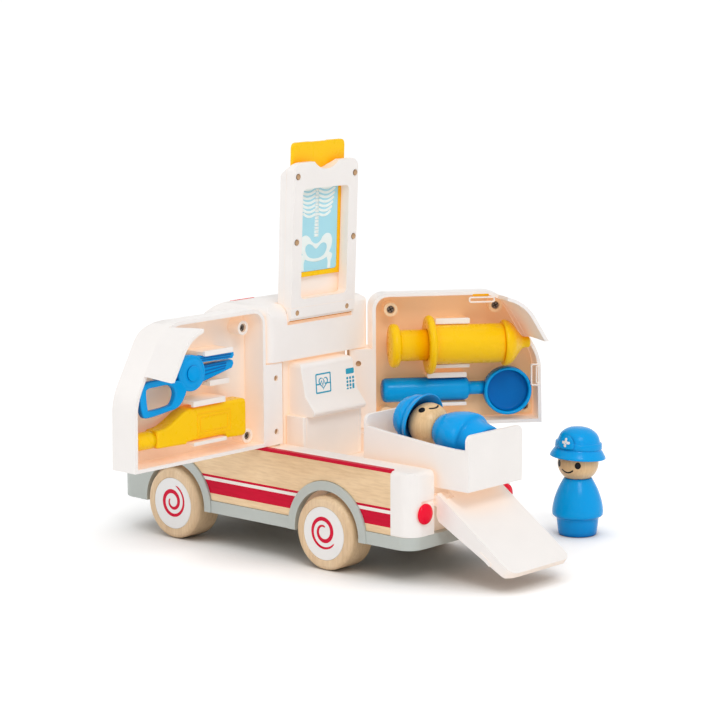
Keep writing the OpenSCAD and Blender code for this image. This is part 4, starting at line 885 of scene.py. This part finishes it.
# Orange line of painted shadow where the lid's lower end meets the block below it.
plate("lid_seam_shadow", [rrect(-28, 28, -5.0, -4.1, 0.2)], 2.6, 3.75, SEAM_SHADOW, "lid", LID, 0.1)
plate("slide_edge", [rrect(-8.3, 8.3, 101.3, 103.1, 0.3)], -3.85, -1.25, YELLOW, "picture", LID, 0.15)
# The slide's thumb scoop as a strip of painted amber shade.
scoop = [(-14, 101.7), (-8, 101.0), (0, 100.7), (8, 101.0), (14, 101.7)]
plate("slide_scoop_shade", [stroke(scoop, 0.9)], -1.4, -1.15, AMBER_SHADE_LIGHT, "picture", LID, 0.05)
# The top latch slot as painted amber light shining through it.
plate("right_top_slot_light", [rrect(77.5, 88, 149.9, 151.2, 0.5)], -29.35, -29.05, AMBER_SHADE_LIGHT, "right_door", RIGHT, 0.05)
ring("right_top_latch", 75.3, 92, 145.6, 149.4, 1.4, 0.9, -31.4, -28.9, WHITE, "right_door", RIGHT)
ring("right_far_latch", 115.4, 121.8, 91.4, 105.6, 1.2, 0.9, -31.6, -28.9, WHITE, "right_door", RIGHT)
ring("right_far_latch_b", 118.6, 121.6, 92.8, 104.2, 0.8, 0.7, -30.2, -28.8, WHITE, "right_door", RIGHT)
BED_SIDE = frame_of((0, 0, 0), (1, 0, 0), (0, 0, 1), (0, -1, 0))
rise = [(-156, 78.6), (-79, 78.6), (-79, 84.9), (-82, 85.2), (-96, 83.6), (-130, 80.6), (-148, 79.65)]
for letter, w0, w1 in (("b", -25, -22.6), ("a", 22.6, 25)):
    plate("bed_side_rise_" + letter, [rise], w0 + 0.02, w1 - 0.02, WHITE, "bed", BED_SIDE, 0.5)

# ---------------------------------------------------------------- stage
FLOOR_HALF = 12
FLOOR_GLOW = 0.3                         # lifts the floor to white where nothing shades it
fl = bpy.data.meshes.new("floor")
corners = [(x * FLOOR_HALF, y * FLOOR_HALF, 0) for x, y in ((-1, -1), (1, -1), (1, 1), (-1, 1))]
fl.from_pydata(corners, [], [(0, 1, 2, 3)])
floor = bpy.data.objects.new("floor", fl)
scene.collection.objects.link(floor)
m, t, b = mat_new("floor_white")
b.inputs["Roughness"].default_value = 0.6
b.inputs["Specular IOR Level"].default_value = 0.2
b.inputs["Emission Color"].default_value = (1, 1, 1, 1)
lit = calc(t, "MULTIPLY", seen(t), FLOOR_GLOW)
# Painted contact shadow: where ambient occlusion finds the floor shaded by the toy, its colour turns darker and
# warmer and its lift to white fades out.
ao = node(t, "ShaderNodeAmbientOcclusion", samples=8, Distance=0.075).outputs["AO"]
lit = calc(t, "MULTIPLY", lit, ramp(t, ao, [(0.3, 0.0), (0.92, 1.0)]))
t.links.new(lit, b.inputs["Emission Strength"])
t.links.new(ramp(t, ao, [(0.1, (0.50, 0.46, 0.42)), (0.8, 0.93)]), b.inputs["Base Color"])
fl.materials.append(m)

WORLD_LIGHT, WORLD_SEEN = 0.74, 1.0      # strength that lights the object, and strength of the white behind it
world = bpy.data.worlds.new("studio")
scene.world = world
world.use_nodes = True
t = world.node_tree
back = t.nodes["Background"]
back.inputs["Color"].default_value = (1, 1, 1, 1)
strength = node(t, "ShaderNodeMix", data_type="FLOAT")
strength.inputs[2].default_value = WORLD_LIGHT
strength.inputs[3].default_value = WORLD_SEEN
t.links.new(seen(t), strength.inputs[0])
t.links.new(strength.outputs[0], back.inputs["Strength"])

AIM = Vector((-0.03, 0, 0.08))


def lamp(name, loc, size, power, col=(1, 1, 1)):
    """Square area lamp, aimed at the middle of the toy."""
    d = bpy.data.lights.new(name, "AREA")
    d.shape = "RECTANGLE"
    d.size = d.size_y = size
    d.energy = power
    d.color = col
    o = bpy.data.objects.new(name, d)
    scene.collection.objects.link(o)
    o.location = loc
    o.rotation_euler = (AIM - Vector(loc)).to_track_quat("-Z", "Y").to_euler()


lamp("key", (-1.3, 0.75, 1.5), 0.7, 11.0, (1.0, 0.985, 0.965))
lamp("side", (0.9, 1.3, 0.9), 0.6, 3.0)

# ---------------------------------------------------------------- camera, as solved from the photo
CAM_PLACE = (-1.10103, 1.16548, 0.37494)
CAM_PITCH, CAM_YAW, CAM_ROLL = math.radians(9.27), math.radians(48.03), math.radians(-0.27)
cam = bpy.data.cameras.new("cam")
co = bpy.data.objects.new("cam", cam)
scene.collection.objects.link(co)
scene.camera = co
cam.sensor_width = 36
cam.lens = 130.43
cam.clip_start, cam.clip_end = 0.05, 60
up = Vector((0, 0, 1))
level = Vector((math.cos(CAM_YAW), -math.sin(CAM_YAW), 0))
side = Vector((-math.sin(CAM_YAW), -math.cos(CAM_YAW), 0))
ahead = level * math.cos(CAM_PITCH) - up * math.sin(CAM_PITCH)
top = level * math.sin(CAM_PITCH) + up * math.cos(CAM_PITCH)
co.matrix_world = frame_of(CAM_PLACE, side * math.cos(CAM_ROLL) + top * math.sin(CAM_ROLL),
                           top * math.cos(CAM_ROLL) - side * math.sin(CAM_ROLL), -ahead)
scene.view_settings.view_transform = "Standard"
